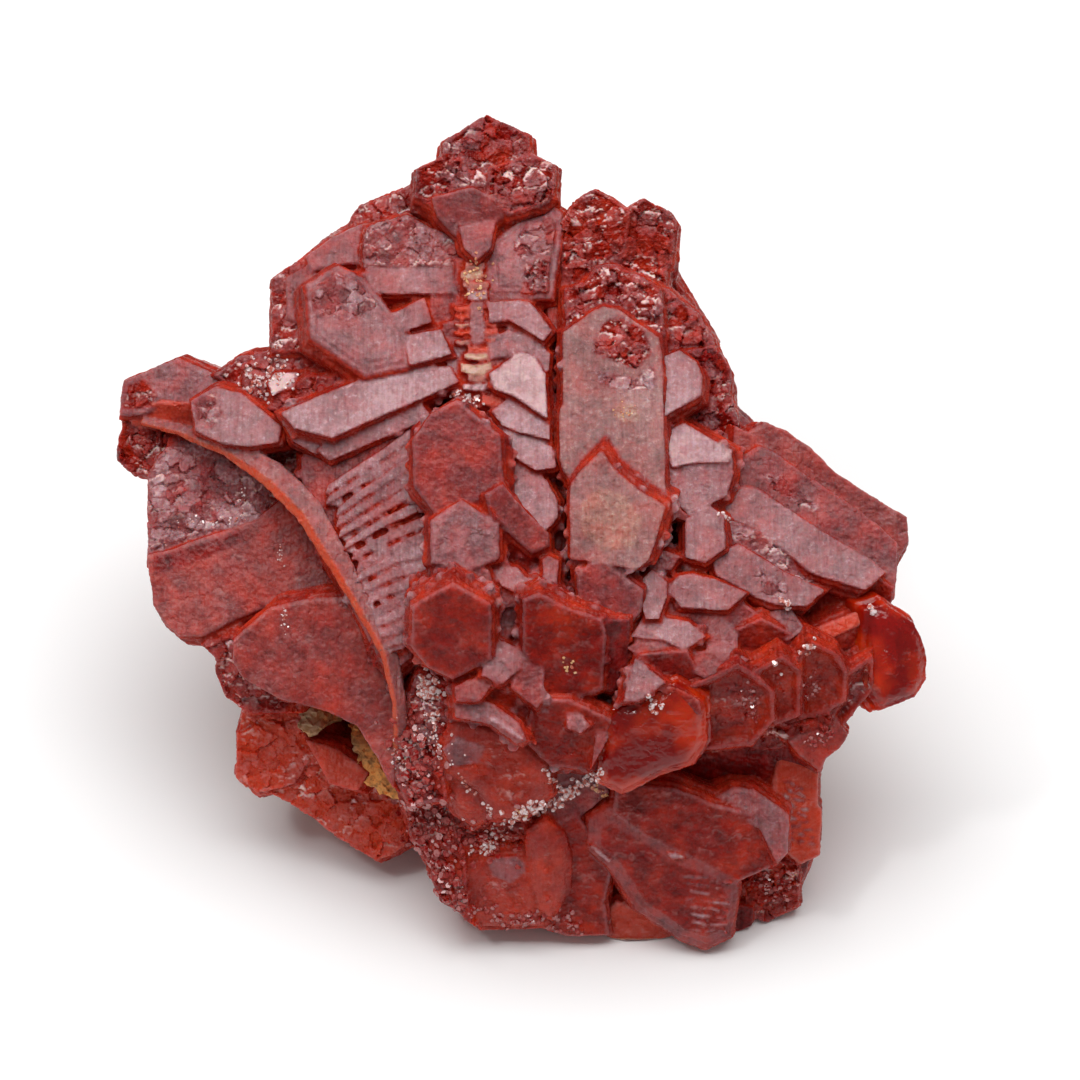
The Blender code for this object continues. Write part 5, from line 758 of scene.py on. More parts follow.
def span(name, description, default):
    """A distance that a user may change."""
    return FloatProperty(
        name=name, description=description, default=default, subtype="DISTANCE", unit="LENGTH", precision=6)


class CrystalSettings(bpy.types.PropertyGroup):
    voxel: span("Grain", "Distance between the points of the grown surface", 0.08 * MM)
    rear_voxel: span("Rear grain", "The same for the clusters at the rear", 0.12 * MM)
    kept: FloatProperty(
        name="Kept", description="Share of the grown surface's triangles that is kept",
        default=0.6, min=0.05, max=1.0)
    pit_size: span("Pit size", "Width of a facet on a crumpled face", 0.62 * MM)
    pit_depth: FloatProperty(
        name="Pit depth", description="How steeply those facets tilt", default=0.55)
    seed_spacing: span("Seedling spacing", "Least distance between seedlings", 0.42 * MM)
    seed_size: span("Seedling size", "Half width of the largest seedling", 0.22 * MM)
    body_colour: tint("Body", "Colour inside the crystals", (0.31, 0.005, 0.004))
    dark_colour: tint("Depths", "Colour of the darkest places inside the crystals", (0.09, 0.0015, 0.0015))
    # the frost colour is also the painted sheen of the light overhead
    frost_and_sheen_colour: tint("Frost", "Colour of the pale frosted faces", (0.50, 0.30, 0.32))
    warm_colour: tint("Warm", "Colour of pale faces that are stained yellow", (0.50, 0.30, 0.16))
    # painted highlights: colour of the glints on facet edges and of faces whose frost passes 1
    glint_colour: tint("Glint", "Colour of the smallest bright facets", (0.85, 0.60, 0.58))
    druse_colour: tint("Druse", "Colour of the white grains", (0.85, 0.72, 0.72))
    gold_colour: tint("Gold druse", "Colour of the golden grains", (0.85, 0.50, 0.24))
    red_colour: tint(
        "Red druse", "Colour of the small crystals that crust the rounded ones", (0.42, 0.07, 0.06))
    druse_depths: tint("Druse depths", "Colour of the pale grains where they are clear", (0.55, 0.13, 0.09))
    # painted glow: colour of light coming through where a crystal is thin
    glow_colour: tint("Glow", "Colour where a crystal is thin and clear", (0.62, 0.045, 0.008))
    clear_colour: tint("Clear", "Colour of the clear crystals at their brightest", (0.9, 0.05, 0.006))
    clear_depths: tint(
        "Clear depths", "Colour of the clear crystals where they are cloudy", (0.36, 0.004, 0.002))
    absorption_colour: tint(
        "Absorption", "Colour that light takes on inside a clear crystal", (0.9, 0.12, 0.04))


class RockSettings(bpy.types.PropertyGroup):
    voxel: span("Grain", "Distance between the points of the rock's surface", 0.14 * MM)
    bare: tint("Rock", "Colour of the bare rock", (0.50, 0.33, 0.20))
    ochre: tint("Ochre", "Colour of its iron stain", (0.95, 0.42, 0.11))
    earth: tint("Earth", "Colour in its hollows", (0.34, 0.17, 0.06))


class StageSettings(bpy.types.PropertyGroup):
    floor_colour: tint("Floor", "Colour of the floor", (0.93, 0.93, 0.93))
    softbox_power: FloatProperty(
        name="Softbox", description="Power of the light overhead", default=1.1, unit="POWER")
    sparkle_power: FloatProperty(
        name="Sparkle", description="Power of the small light that makes glints",
        default=0.09, unit="POWER")
    fill: FloatProperty(
        name="Fill", description="Strength of the light from all round", default=0.24)
    view_distance: span("Distance", "Distance of the camera from the sheet", MEETING_DISTANCE * MM)
    lens: FloatProperty(
        name="Lens", description="Focal length of the camera", default=149.0, unit="CAMERA")


# Node trees


class Socket:
    """An output in a node tree. Arithmetic on it adds Math nodes to the tree."""

    def __init__(self, tree, socket):
        self.tree = tree
        self.socket = socket

    def maths(self, operation, *others):
        return self.tree.node("ShaderNodeMath", {"operation": operation}, dict(enumerate((self, *others))))

    def __add__(self, other):
        return self.maths("ADD", other)

    def __sub__(self, other):
        return self.maths("SUBTRACT", other)

    def __mul__(self, other):
        return self.maths("MULTIPLY", other)

    def __rsub__(self, other):
        return self.tree.node("ShaderNodeMath", {"operation": "SUBTRACT"}, {0: other, 1: self})

    __radd__ = __add__
    __rmul__ = __mul__

    def clamped(self):
        return self.tree.node("ShaderNodeClamp", {}, {"Value": self})

    def smooth(self, low, high):
        """0 below the low value and 1 above the high one, with a soft passage."""
        return self.tree.node(
            "ShaderNodeMapRange", {"interpolation_type": "SMOOTHSTEP"},
            {"Value": self, "From Min": low, "From Max": high})


class Tree:
    """A node tree with one method that adds and wires a node."""

    def __init__(self, nodes):
        self.nodes = nodes

    def node(self, kind, settings=None, inputs=None, output=0):
        made = self.nodes.nodes.new(kind)
        for name, value in (settings or {}).items():
            setattr(made, name, value)
        for name, value in (inputs or {}).items():
            if isinstance(value, Socket):
                self.nodes.links.new(value.socket, made.inputs[name])
            else:
                made.inputs[name].default_value = value
        return Socket(self, made.outputs[output]) if made.outputs else made

    def other(self, socket, output):
        """Another output of the node that a socket belongs to."""
        return Socket(self, socket.socket.node.outputs[output])

    def mixed(self, factor, first, second):
        """A colour between two colours."""
        return self.node(
            "ShaderNodeMix", {"data_type": "RGBA"}, {0: factor, 6: first, 7: second}, output=2)

    def vector(self, operation, *inputs, output=0):
        return self.node(
            "ShaderNodeVectorMath", {"operation": operation}, dict(enumerate(inputs)), output)

    def scaled(self, vector, factor):
        return self.node("ShaderNodeVectorMath", {"operation": "SCALE"}, {0: vector, "Scale": factor})

    def stored(self, name, kind):
        """A value that is kept on the mesh under a name."""
        return self.node("GeometryNodeInputNamedAttribute", {"data_type": kind}, {"Name": name})

    def chosen(self, low, high, seed, **more):
        """A random number between two others; each thing gets its own."""
        return self.node("FunctionNodeRandomValue", {"data_type": "FLOAT"},
                         {2: low, 3: high, "Seed": seed, **more}, 1)

    def tilted(self, vector, most, seed):
        """A vector that strays at random, as a rotation of the Z axis."""
        stray = self.node("FunctionNodeRandomValue", {"data_type": "FLOAT_VECTOR"},
                          {0: (-most,) * 3, 1: (most,) * 3, "Seed": seed}, "Value")
        aimed = self.vector("ADD", vector, stray)
        return self.node("FunctionNodeAlignRotationToVector", {"axis": "Z"}, {"Vector": aimed})


def geometry_tree(name, inputs):
    """An empty geometry tree with named inputs, and the sockets that its group input gives."""
    nodes = bpy.data.node_groups.new(name, "GeometryNodeTree")
    nodes.interface.new_socket("Geometry", in_out="INPUT", socket_type="NodeSocketGeometry")
    for label, kind in inputs.items():
        nodes.interface.new_socket(label, in_out="INPUT", socket_type=kind)
    nodes.interface.new_socket("Geometry", in_out="OUTPUT", socket_type="NodeSocketGeometry")
    tree = Tree(nodes)
    entry = nodes.nodes.new("NodeGroupInput")
    given = {label: Socket(tree, entry.outputs[label]) for label in ("Geometry", *inputs)}
    return tree, given


def end_tree(tree, geometry, material):
    """Ends a geometry tree as the export needs it: instances made real, one material."""
    real = tree.node("GeometryNodeRealizeInstances", {}, {"Geometry": geometry})
    finished = tree.node("GeometryNodeSetMaterial", {}, {"Geometry": real, "Material": material})
    tree.node("NodeGroupOutput", {}, {"Geometry": finished})
    return tree.nodes


def use_tree(obj, nodes, values):
    """Puts a tree on an object and sets the modifier's inputs by their identifiers."""
    modifier = obj.modifiers.new(nodes.name, "NODES")
    modifier.node_group = nodes
    for item in nodes.interface.items_tree:
        if item.item_type == "SOCKET" and item.in_out == "INPUT" and item.name in values:
            modifier[item.identifier] = values[item.name]
    return modifier


def crumple_tree():
    """Crumples a grown surface: facets tilt, crack and sink where the nearest finish says so."""
    tree, given = geometry_tree("Crumple", {
        "Crystals": "NodeSocketObject", "Pit Size": "NodeSocketFloat", "Pit Depth": "NodeSocketFloat",
        "Floor": "NodeSocketFloat", "Material": "NodeSocketMaterial"})
    crystals = tree.node("GeometryNodeObjectInfo", {"transform_space": "ORIGINAL"},
                         {"Object": given["Crystals"]}, "Geometry")
    place = tree.node("GeometryNodeInputPosition")
    near = tree.node("GeometryNodeSampleNearestSurface", {"data_type": "FLOAT_COLOR"}, {
        "Mesh": crystals, "Value": tree.stored("finish", "FLOAT_COLOR"), "Sample Position": place})
    soft = tree.node("GeometryNodeBlurAttribute", {"data_type": "FLOAT_COLOR"},
                     {"Value": near, "Iterations": 1})
    solid = without_cavities(tree, given["Geometry"])
    stored = store_colour(tree, solid, "finish", soft)
    finish = tree.stored("finish", "FLOAT_COLOR")
    pits = tree.node("FunctionNodeSeparateColor", {}, {"Color": finish}, "Red")
    scale = tree.node("ShaderNodeMath", {"operation": "DIVIDE"}, {0: 1.0, 1: given["Pit Size"]})
    scaled = tree.scaled(place, scale)
    wobble = tree.node("ShaderNodeTexNoise", {}, {"Vector": scaled, "Scale": 0.8, "Detail": 3.0}, "Color")
    bent = tree.vector("MULTIPLY_ADD", wobble, (1.1, 1.1, 1.1), scaled)
    coarse = facets(tree, bent, 1.0)
    fine = facets(tree, bent, 2.3)
    depth = pits * pits + 0.04
    # painted shade: the frost and its sheen are taken off in the cracks and the sunken cells
    shadow = pits * (1.0 - coarse.level * (0.4 + fine.level * 0.6))
    # painted highlights along the upper edges of the cells
    glint = (coarse.glint + fine.glint * 0.7) * pits * pits * 1.3
    shaded = tree.node("FunctionNodeCombineColor", {}, {
        "Red": pits, "Green": tree.other(pits, "Green"), "Blue": tree.other(pits, "Blue") * (1.0 - shadow),
        "Alpha": tree.other(pits, "Alpha")})
    dressed = store_colour(tree, stored, "finish", shaded)
    glinting = tree.node("GeometryNodeStoreNamedAttribute", {"data_type": "FLOAT", "domain": "POINT"},
                         {"Geometry": dressed, "Name": "glint", "Value": glint})
    # the broad waves that even a smooth face has
    wave = tree.node("ShaderNodeTexNoise", {}, {"Vector": scaled, "Scale": 0.7, "Detail": 3.0}, 0)
    crumple = (coarse.height + fine.height * 0.45) * depth * given["Pit Depth"]
    height = (crumple + (wave - 0.5) * 0.3) * given["Pit Size"]
    normal = tree.node("GeometryNodeInputNormal")
    offset = tree.scaled(normal, height)
    moved = tree.node("GeometryNodeSetPosition", {}, {"Geometry": glinting, "Offset": offset})
    lowest = tree.node("ShaderNodeCombineXYZ", {}, {"X": -1.0, "Y": -1.0, "Z": given["Floor"]})
    raised = tree.vector("MAXIMUM", tree.node("GeometryNodeInputPosition"), lowest)
    kept = tree.node("GeometryNodeSetPosition", {}, {"Geometry": moved, "Position": raised})
    return end_tree(tree, kept, given["Material"])


def store_colour(tree, geometry, name, value):
    return tree.node("GeometryNodeStoreNamedAttribute", {"data_type": "FLOAT_COLOR", "domain": "POINT"},
                     {"Geometry": geometry, "Name": name, "Value": value})


def without_cavities(tree, geometry):
    """Drops the closed shells that face inwards: hollows that nobody can see."""
    normal = tree.node("GeometryNodeInputNormal")
    place = tree.node("GeometryNodeInputPosition")
    area = tree.node("GeometryNodeInputMeshFaceArea")
    swept = tree.vector("DOT_PRODUCT", normal, place, output="Value") * area * 1.0e9
    island = tree.node("GeometryNodeInputMeshIsland", {}, {}, "Island Index")
    volume = tree.node("GeometryNodeAccumulateField", {"data_type": "FLOAT", "domain": "FACE"},
                       {"Value": swept, "Group ID": island}, "Total")
    inward = tree.node("FunctionNodeCompare", {"data_type": "FLOAT", "operation": "LESS_THAN"},
                       {0: volume, 1: 0.0})
    return tree.node("GeometryNodeDeleteGeometry", {"domain": "FACE"},
                     {"Geometry": geometry, "Selection": inward})


Facets = namedtuple("Facets", "height level glint")


def facets(tree, place, scale):
    """A field of tilted facets, one cell a unit at scale 1.

    It has the height, how far each point is out of the cracks and sunken cells, which sets the painted
    shade there, and the painted highlights along the upper edges of some cells.
    """
    cell = tree.node("ShaderNodeTexVoronoi", {}, {"Vector": place, "Scale": scale}, "Color")
    middle = tree.other(cell, "Position")
    chance = tree.node("FunctionNodeSeparateColor", {}, {"Color": cell}, "Red")
    sunk = tree.other(chance, "Blue").smooth(0.62, 0.68)
    tilt = tree.vector("SUBTRACT", cell, (0.5, 0.5, 0.5))
    away = tree.vector("SUBTRACT", place, middle)
    slope = tree.vector("DOT_PRODUCT", tilt, away, output="Value")
    edge = tree.node("ShaderNodeTexVoronoi", {"feature": "DISTANCE_TO_EDGE"},
                     {"Vector": place, "Scale": scale}, "Distance")
    crack = edge.smooth(0.0, 0.06)
    level = crack * (1.0 - sunk)
    up = (0.0, math.sin(SHEET_LEAN) * scale, math.cos(SHEET_LEAN) * scale)
    above = tree.vector("DOT_PRODUCT", away, up, output="Value").smooth(0.1, 0.25)
    line = edge.smooth(0.03, 0.07) * (1.0 - edge.smooth(0.12, 0.2))
    glint = line * above * chance.smooth(0.5, 0.6)
    return Facets(slope * 1.3 + (level - 1.0) * (0.14 / scale), level, glint)


def seedling_tree():
    """Seeds small six-sided crystals on the faces whose bed value is 1."""
    tree, given = geometry_tree("Seedlings", {
        "Spacing": "NodeSocketFloat", "Smallest": "NodeSocketFloat", "Largest": "NodeSocketFloat",
        "Outward": "NodeSocketVector", "Seed": "NodeSocketInt"})
    sown = tree.node("FunctionNodeCompare", {"data_type": "FLOAT", "operation": "GREATER_THAN"},
                     {0: tree.stored("bed", "FLOAT"), 1: 0.5})
    points = tree.node(
        "GeometryNodeDistributePointsOnFaces", {"distribute_method": "POISSON"},
        {"Mesh": given["Geometry"], "Selection": sown, "Distance Min": given["Spacing"],
         "Density Max": SEEDLING_CROWD, "Seed": given["Seed"]}, "Points")
    prism = tree.node("GeometryNodeMeshCylinder", {},
                      {"Vertices": 6, "Radius": 1.0, "Depth": SEEDLING_LENGTH}, "Mesh")
    planted = tree.node("GeometryNodeInstanceOnPoints", {}, {
        "Points": points, "Instance": prism, "Rotation": tree.tilted(given["Outward"], SEEDLING_TILT, 3),
        "Scale": tree.chosen(given["Smallest"], given["Largest"], 5)})
    real = tree.node("GeometryNodeRealizeInstances", {}, {"Geometry": planted})
    island = tree.node("GeometryNodeInputMeshIsland", {}, {}, "Island Index")
    # their frost with its painted sheen, and their painted glow, differ at random
    finish = tree.node("FunctionNodeCombineColor", {}, {
        "Red": 0.2, "Green": 0.0, "Blue": tree.chosen(0.0, 0.9, 7, ID=island),
        "Alpha": tree.chosen(0.0, 0.7, 9, ID=island)})
    dressed = tree.node("GeometryNodeStoreNamedAttribute", {"data_type": "FLOAT_COLOR", "domain": "FACE"},
                        {"Geometry": real, "Name": "finish", "Value": finish})
    both = tree.node("GeometryNodeJoinGeometry")
    for part in (given["Geometry"], dressed):
        tree.nodes.links.new(part.socket, both.socket.node.inputs[0])
    tree.node("NodeGroupOutput", {}, {"Geometry": both})
    return tree.nodes


def grain_tree():
    """Plants a six-sided grain on every point, along its normal and as large as its size."""
    tree, given = geometry_tree("Grains", {"Material": "NodeSocketMaterial", "Seed": "NodeSocketInt"})
    prism = tree.node("GeometryNodeMeshCylinder", {}, {"Vertices": 6, "Radius": 1.0, "Depth": 2.0}, "Mesh")
    turned = tree.tilted(tree.stored("out", "FLOAT_VECTOR"), GRAIN_TILT, given["Seed"])
    planted = tree.node("GeometryNodeInstanceOnPoints", {}, {
        "Points": given["Geometry"], "Instance": prism, "Rotation": turned,
        "Scale": tree.stored("size", "FLOAT_VECTOR")})
    return end_tree(tree, planted, given["Material"])


def tree_named(name, maker):
    return bpy.data.node_groups.get(name) or maker()


# Materials


def new_material(name):
    material = bpy.data.materials.new(name)
    material.use_nodes = True
    material.node_tree.nodes.clear()
    return material, Tree(material.node_tree)


def shader(tree, values):
    """A Principled shader on the material's output."""
    surface = tree.node("ShaderNodeBsdfPrincipled", {}, values)
    tree.node("ShaderNodeOutputMaterial", {}, {"Surface": surface})
    return surface


def opaque(colour):
    return (*colour, 1.0)


def scaled_place(tree, per_mm):
    """Object coordinates, scaled so that a pattern has this many periods a millimetre."""
    return tree.scaled(tree.node("ShaderNodeTexCoord", {}, {}, "Object"), per_mm / MM)


def noise(tree, per_mm, detail, roughness=0.5):
    return tree.node("ShaderNodeTexNoise", {}, {
        "Vector": scaled_place(tree, per_mm), "Scale": 1.0, "Detail": detail, "Roughness": roughness})


def bump(tree, height, depth, strength):
    return tree.node("ShaderNodeBump", {}, {"Strength": strength, "Distance": depth, "Height": height})


def vanadinite_material(settings):
    """Resinous red crystal: frosted with a painted sheen on its pale faces, a painted orange glow where it is
    thin.
    """
    material, tree = new_material("red_crystal")
    finish = tree.node("ShaderNodeAttribute", {"attribute_name": "finish"}, {}, "Color")
    glow = tree.other(finish, "Alpha")
    pits = tree.node("ShaderNodeSeparateColor", {}, {"Color": finish}, "Red")
    warm = tree.other(pits, "Green")
    frost = tree.other(pits, "Blue")
    cloud = noise(tree, 0.7, 3.0)
    veil = noise(tree, 0.45, 3.0, 0.4)
    grain = noise(tree, 4.0, 3.0, 0.7)
    mottle = noise(tree, 1.5, 4.0)
    pocks = tree.node("ShaderNodeTexVoronoi", {"feature": "F1"},
                      {"Vector": scaled_place(tree, 4.5), "Scale": 1.0}, "Distance")
    # fine growth lines that run up the crystals
    stretched = tree.vector("MULTIPLY", scaled_place(tree, 1.0), (7.0, 0.5, 0.5))
    striae = tree.node("ShaderNodeTexNoise", {}, {"Vector": stretched, "Scale": 1.0, "Detail": 2.0})
    # the inside: a painted glow of light through where the crystal is thin, darker in its depths
    lit = (glow + (cloud - 0.5) * 1.1).clamped()
    body = tree.mixed(lit, opaque(settings.body_colour), opaque(settings.glow_colour))
    shade = mottle.smooth(0.68, 0.36) * 0.5 + grain.smooth(0.55, 0.3) * 0.3 + cloud.smooth(0.6, 0.4) * 0.25
    shade = (shade * (1.15 - glow)).clamped()
    body = tree.mixed(shade, body, opaque(settings.dark_colour))
    # the frost and painted sheen over it, thinner behind the veil, with painted sparkles and edge highlights
    pale = tree.mixed(warm, opaque(settings.frost_and_sheen_colour), opaque(settings.warm_colour))
    sparkle_flecks = grain.smooth(0.56, 0.7) * (frost * 0.5 - 0.01)
    frosted = (frost * (0.2 + veil * 1.3) * (grain * 1.2 + striae * 0.8 - 0.1) + sparkle_flecks).clamped()
    colour = tree.mixed(frosted, body, pale)
    # painted highlights: the glint lines, and faces whose frost passes 1, turn the glint colour
    line = tree.node("ShaderNodeAttribute", {"attribute_name": "glint"}, {}, "Fac")
    glint = (line * veil.smooth(0.35, 0.6) + (frost - 1.0).clamped() * 2.0).clamped()
    colour = tree.mixed(glint, colour, opaque(settings.glint_colour))
    height = grain * 0.5 + pocks * (0.25 + pits * 0.8) + striae * 0.6
    shader(tree, {
        "Base Color": colour, "Roughness": 0.18 + frost * 0.14 + grain * 0.16,
        "Normal": bump(tree, height, GRAIN_DEPTH, 1.0), "IOR": REFRACTION, "Specular IOR Level": SHEEN_LEVEL,
        "Subsurface Weight": SCATTERED, "Subsurface Radius": (1.0, 0.12, 0.06),
        "Subsurface Scale": SCATTER_DEPTH})
    return material


def clear_material(settings):
    """The clear crystals: light passes through and comes out orange-red."""
    material, tree = new_material("clear_crystal")
    grain = noise(tree, 1.6, 3.0)
    cloud = noise(tree, 0.5, 2.0)
    colour = tree.mixed(cloud.smooth(0.4, 0.62), opaque(settings.clear_depths), opaque(settings.clear_colour))
    surface = tree.node("ShaderNodeBsdfPrincipled", {}, {
        "Base Color": colour, "Roughness": 0.06 + grain * 0.14, "Normal": bump(tree, grain, 0.1 * MM, 0.3),
        "IOR": REFRACTION, "Specular IOR Level": CLEAR_SHEEN_LEVEL, "Transmission Weight": PASSED,
        "Subsurface Weight": SCATTERED, "Subsurface Radius": (1.0, 0.12, 0.04),
        "Subsurface Scale": CLEAR_SCATTER_DEPTH})
    inside = tree.node("ShaderNodeVolumeAbsorption", {}, {
        "Color": opaque(settings.absorption_colour), "Density": ABSORPTION})
    tree.node("ShaderNodeOutputMaterial", {}, {"Surface": surface, "Volume": inside})
    return material


def druse_material(name, colour, depths):
    """The smallest grains: bright and glossy."""
    material, tree = new_material(name)
    tone = tree.mixed(noise(tree, 6.0, 2.0).smooth(0.4, 0.6), opaque(colour), opaque(depths))
    shader(tree, {"Base Color": tone, "Roughness": 0.15, "IOR": 1.9})
    return material


def rock_material(settings):
    """Earthy rock with ochre stain in its hollows."""
    material, tree = new_material("rough_rock")
    grain = noise(tree, 4.0, 6.0)
    stain = noise(tree, 0.4, 6.0).smooth(0.38, 0.62)
    colour = tree.mixed(stain, opaque(settings.bare), opaque(settings.ochre))
    earthy = tree.mixed(grain.smooth(0.3, 0.6), opaque(settings.earth), colour)
    shader(tree, {"Base Color": earthy, "Roughness": 0.75 + grain * 0.2,
                  "Normal": bump(tree, grain, 0.1 * MM, 0.7)})
    return material


def material_for(name, maker, settings):
    return bpy.data.materials.get(name) or maker(settings)


# The sheet and its outlines


def relief(a, b):
    """Lift of the crust's general surface at a point of the sheet."""
    if b < RIDGE:
        along = RIDGE_LIFT + WALL_RISE * (b - RIDGE)
    else:
        along = RIDGE_LIFT - ROOF_FALL * (b - RIDGE)
    fall = LEFT_FALL if a < CREST else RIGHT_FALL
    return along - fall * (a - CREST) ** 2


def from_sheet(a, b, lift):
    """The model-space point, in metres, of a sheet point at a given lift."""
    narrowing = 1 - lift / MEETING_DISTANCE
    right = MEETING_SIDE + (a - MEETING_SIDE) * narrowing
    up = b * narrowing
    return Vector((
        SHEET_SIDE + right,
        SHEET_BACK + up * math.sin(SHEET_LEAN) - lift * math.cos(SHEET_LEAN),
        SHEET_HEIGHT + up * math.cos(SHEET_LEAN) + lift * math.sin(SHEET_LEAN),
    )) * MM


def signed_area(outline):
    pairs = zip(outline, outline[1:] + outline[:1])
    return sum(p[0] * q[1] - q[0] * p[1] for p, q in pairs) / 2


def narrowed(outline, inset):
    """The outline with every side moved in; corners stay corners."""
    turned = outline if signed_area(outline) > 0 else outline[::-1]
    result = []
    for before, here, after in zip(turned[-1:] + turned[:-1], turned, turned[1:] + turned[:1]):
        first = Vector((here[1] - before[1], before[0] - here[0])).normalized()
        second = Vector((after[1] - here[1], here[0] - after[0])).normalized()
        reach = inset / max(0.35, 1 + first.dot(second))
        result.append((here[0] - reach * (first.x + second.x), here[1] - reach * (first.y + second.y)))
    return result


def centre(outline):
    return (sum(p[0] for p in outline) / len(outline), sum(p[1] for p in outline) / len(outline))


# Solids


def band_of(finish):
    return (finish.pits, finish.warm, finish.frost, finish.glow, 0.0)


def closed_solid(rings, bands, stripes=None):
    """A bmesh through rings of points, closed at both ends.

    There is one band for each gap between rings and one for the end face. A band is the pits,
    warmth, frost and glow of its faces and, as its last value, 1 where seedlings may sit on it.
    Stripes, one for each side of the rings, replace the bands between them where they are given.
    """
    mesh = bmesh.new()
    finish = mesh.faces.layers.float_color.new("finish")
    bed = mesh.faces.layers.float.new("bed")
    loops = [[mesh.verts.new(point) for point in ring] for ring in rings]
    count = len(rings[0])
    made = [(mesh.faces.new(loops[0][::-1]), bands[0]), (mesh.faces.new(loops[-1]), bands[-1])]
    for lower, upper, band in zip(loops, loops[1:], bands):
        for i in range(count):
            j = (i + 1) % count
            face = mesh.faces.new((lower[i], lower[j], upper[j], upper[i]))
            made.append((face, stripes[i] if stripes else band))
    for face, band in made:
        face[finish] = band[:4]
        face[bed] = band[4]
    bmesh.ops.recalc_face_normals(mesh, faces=mesh.faces)
    return mesh


def crystal(entry):
    """One crystal of the front tables, with a stepped foot and the edge that its finish has."""
    outline, proud, slope, root, word = entry
    finish = FINISHES[word]
    middle = centre(outline)
    lift = relief(*middle) + proud
    fit = min(1.0, math.sqrt(abs(signed_area(outline))) / SMALL)
    length = math.hypot(*root)
    stations = [(FOOT[0][0], length)]
    if length > LEDGED:
        stations += [(inset, share * length) for inset, share in LEDGES]
    stations += [(inset, drop) for inset, drop in FOOT if drop < length]
    stations += [(inset * fit, drop * fit) for inset, drop in finish.edge]
    rings = []
    for inset, drop in stations:
        share = drop / length
        ring = []
        for a, b in narrowed(outline, inset - OVERGROWTH * fit):
            raised = lift + slope[0] * (a - middle[0]) + slope[1] * (b - middle[1])
            ring.append(from_sheet(a + share * root[0], b + share * root[1], raised + share * root[2]))
        rings.append(ring)
    vary = random.Random(f"{middle[0]:.3f} {middle[1]:.3f}")
    shift = vary.uniform(-FROST_AND_SHEEN_SHIFT, FROST_AND_SHEEN_SHIFT) * min(1.0, 0.2 + finish.frost)
    face = (finish.pits, finish.warm, max(0.0, finish.frost + shift), max(0.0, finish.glow - shift), 0.0)
    crumpled = finish.pits > CRUMPLED
    seeds = 1.0 if math.hypot(*middle) < SEEDED_REACH and not crumpled else 0.0
    # the edge band carries the pale edge line: frost and a painted highlight
    edge = (CRUMPLED_EDGE_PITS if crumpled else EDGE_PITS, finish.warm, finish.rim, finish.glow, 0.0)
    side = (CRUMPLED_SIDE_PITS if crumpled else SIDE[0], *SIDE[1:], 0.0)
    foot = len(stations) - len(finish.edge)
    bands = [side if (i % 2 or i >= foot - 1) else (*SIDE, seeds) for i in range(foot)]
    bands += [edge] * (len(finish.edge) - 1) + [face]
    if finish.edge is HOLLOW:
        bands[-3:-1] = [side, side]
    return closed_solid(rings, bands)


def rear_crystal(entry):
    """One rear crystal: a hexagonal prism with a blunt point."""
    x, y, z, bearing, rise, radius, length = entry
    bearing, rise = math.radians(bearing), math.radians(rise)
    axis = Vector((math.cos(bearing) * math.cos(rise), math.sin(bearing) * math.cos(rise), math.sin(rise)))
    side = axis.cross(Vector((0, 0, 1))).normalized()
    up = side.cross(axis)
    base = Vector((x, y, z))
    tip = TIP_LENGTH * radius
    # (distance along the axis, width): the root, a ledge, then the point in two steps
    stations = (
        (-REAR_ROOT, radius),
        (0.6 * length, radius),
        (0.6 * length + 0.05, 0.95 * radius),
        (length - tip, 0.95 * radius),
        (length - 0.4 * tip, 0.8 * radius),
        (length - 0.38 * tip, 0.72 * radius),
        (length, TIP_WIDTH * radius),
    )
    turns = [math.radians(60 * i + 30) for i in range(6)]
    rings = []
    for distance, width in stations:
        ring = [base + axis * distance + (side * math.cos(t) + up * math.sin(t)) * width for t in turns]
        rings.append([point * MM for point in ring])
    sides = [(*SIDE, 1.0)] + [(*SIDE, 0.0)] * 2
    return closed_solid(rings, sides + [REAR_TIP] * 3 + [band_of(FINISHES["plain"])])


def patch(host, outline, above, word):
    """An entry that lies on another crystal's face, the given height above it."""
    host_outline, proud, slope, root, _ = host
    home = centre(host_outline)
    here = centre(outline)
    level = relief(*home) + proud + slope[0] * (here[0] - home[0]) + slope[1] * (here[1] - home[1])
    return outline, level + above - relief(*here), slope, tuple(0.2 * r for r in root), word


def step_rows(host, left_line, right_line, count):
    """Rows of short steps, bright with painted glints, across a face; each row is a few bars with gaps
    between them.
    """
    bars = []
    vary = random.Random(count)
    for i in range(count):
        left = along_line(*left_line, i / (count - 1))
        right = along_line(*right_line, i / (count - 1))
        share = vary.uniform(0.0, 0.15)
        while share < 0.9:
            end = min(1.0, share + vary.uniform(*STEP_LENGTHS))
            first = along_line(left, right, share)
            last = along_line(left, right, end)
            rise = vary.uniform(-STEP_TILT, STEP_TILT)
            bars.append(patch(host, [
                (first[0], first[1] + rise), (last[0], last[1] - rise),
                (last[0], last[1] - rise + STEP_WIDTH), (first[0], first[1] + rise + STEP_WIDTH),
            ], STEP_HEIGHT, vary.choice(("bright", "glinting", "satin"))))
            share = end + vary.uniform(*STEP_GAPS)
    return bars


def spine_entries():
    """The stacked slabs along the spine of the fan."""
    slabs = []
    for left, right, low, high, word in SPINE_SLABS:
        middle = (left + right) / 2
        outline = [(left, low), (middle, low - SPINE_SAG), (right, low), (right, high),
                   (middle, high - SPINE_SAG), (left, high)]
        slabs.append((outline, SPINE_PROUD, SPINE_SLOPE, SPINE_ROOT, word))
    return slabs


def along_line(first, last, share):
    return tuple(p + share * (q - p) for p, q in zip(first, last))


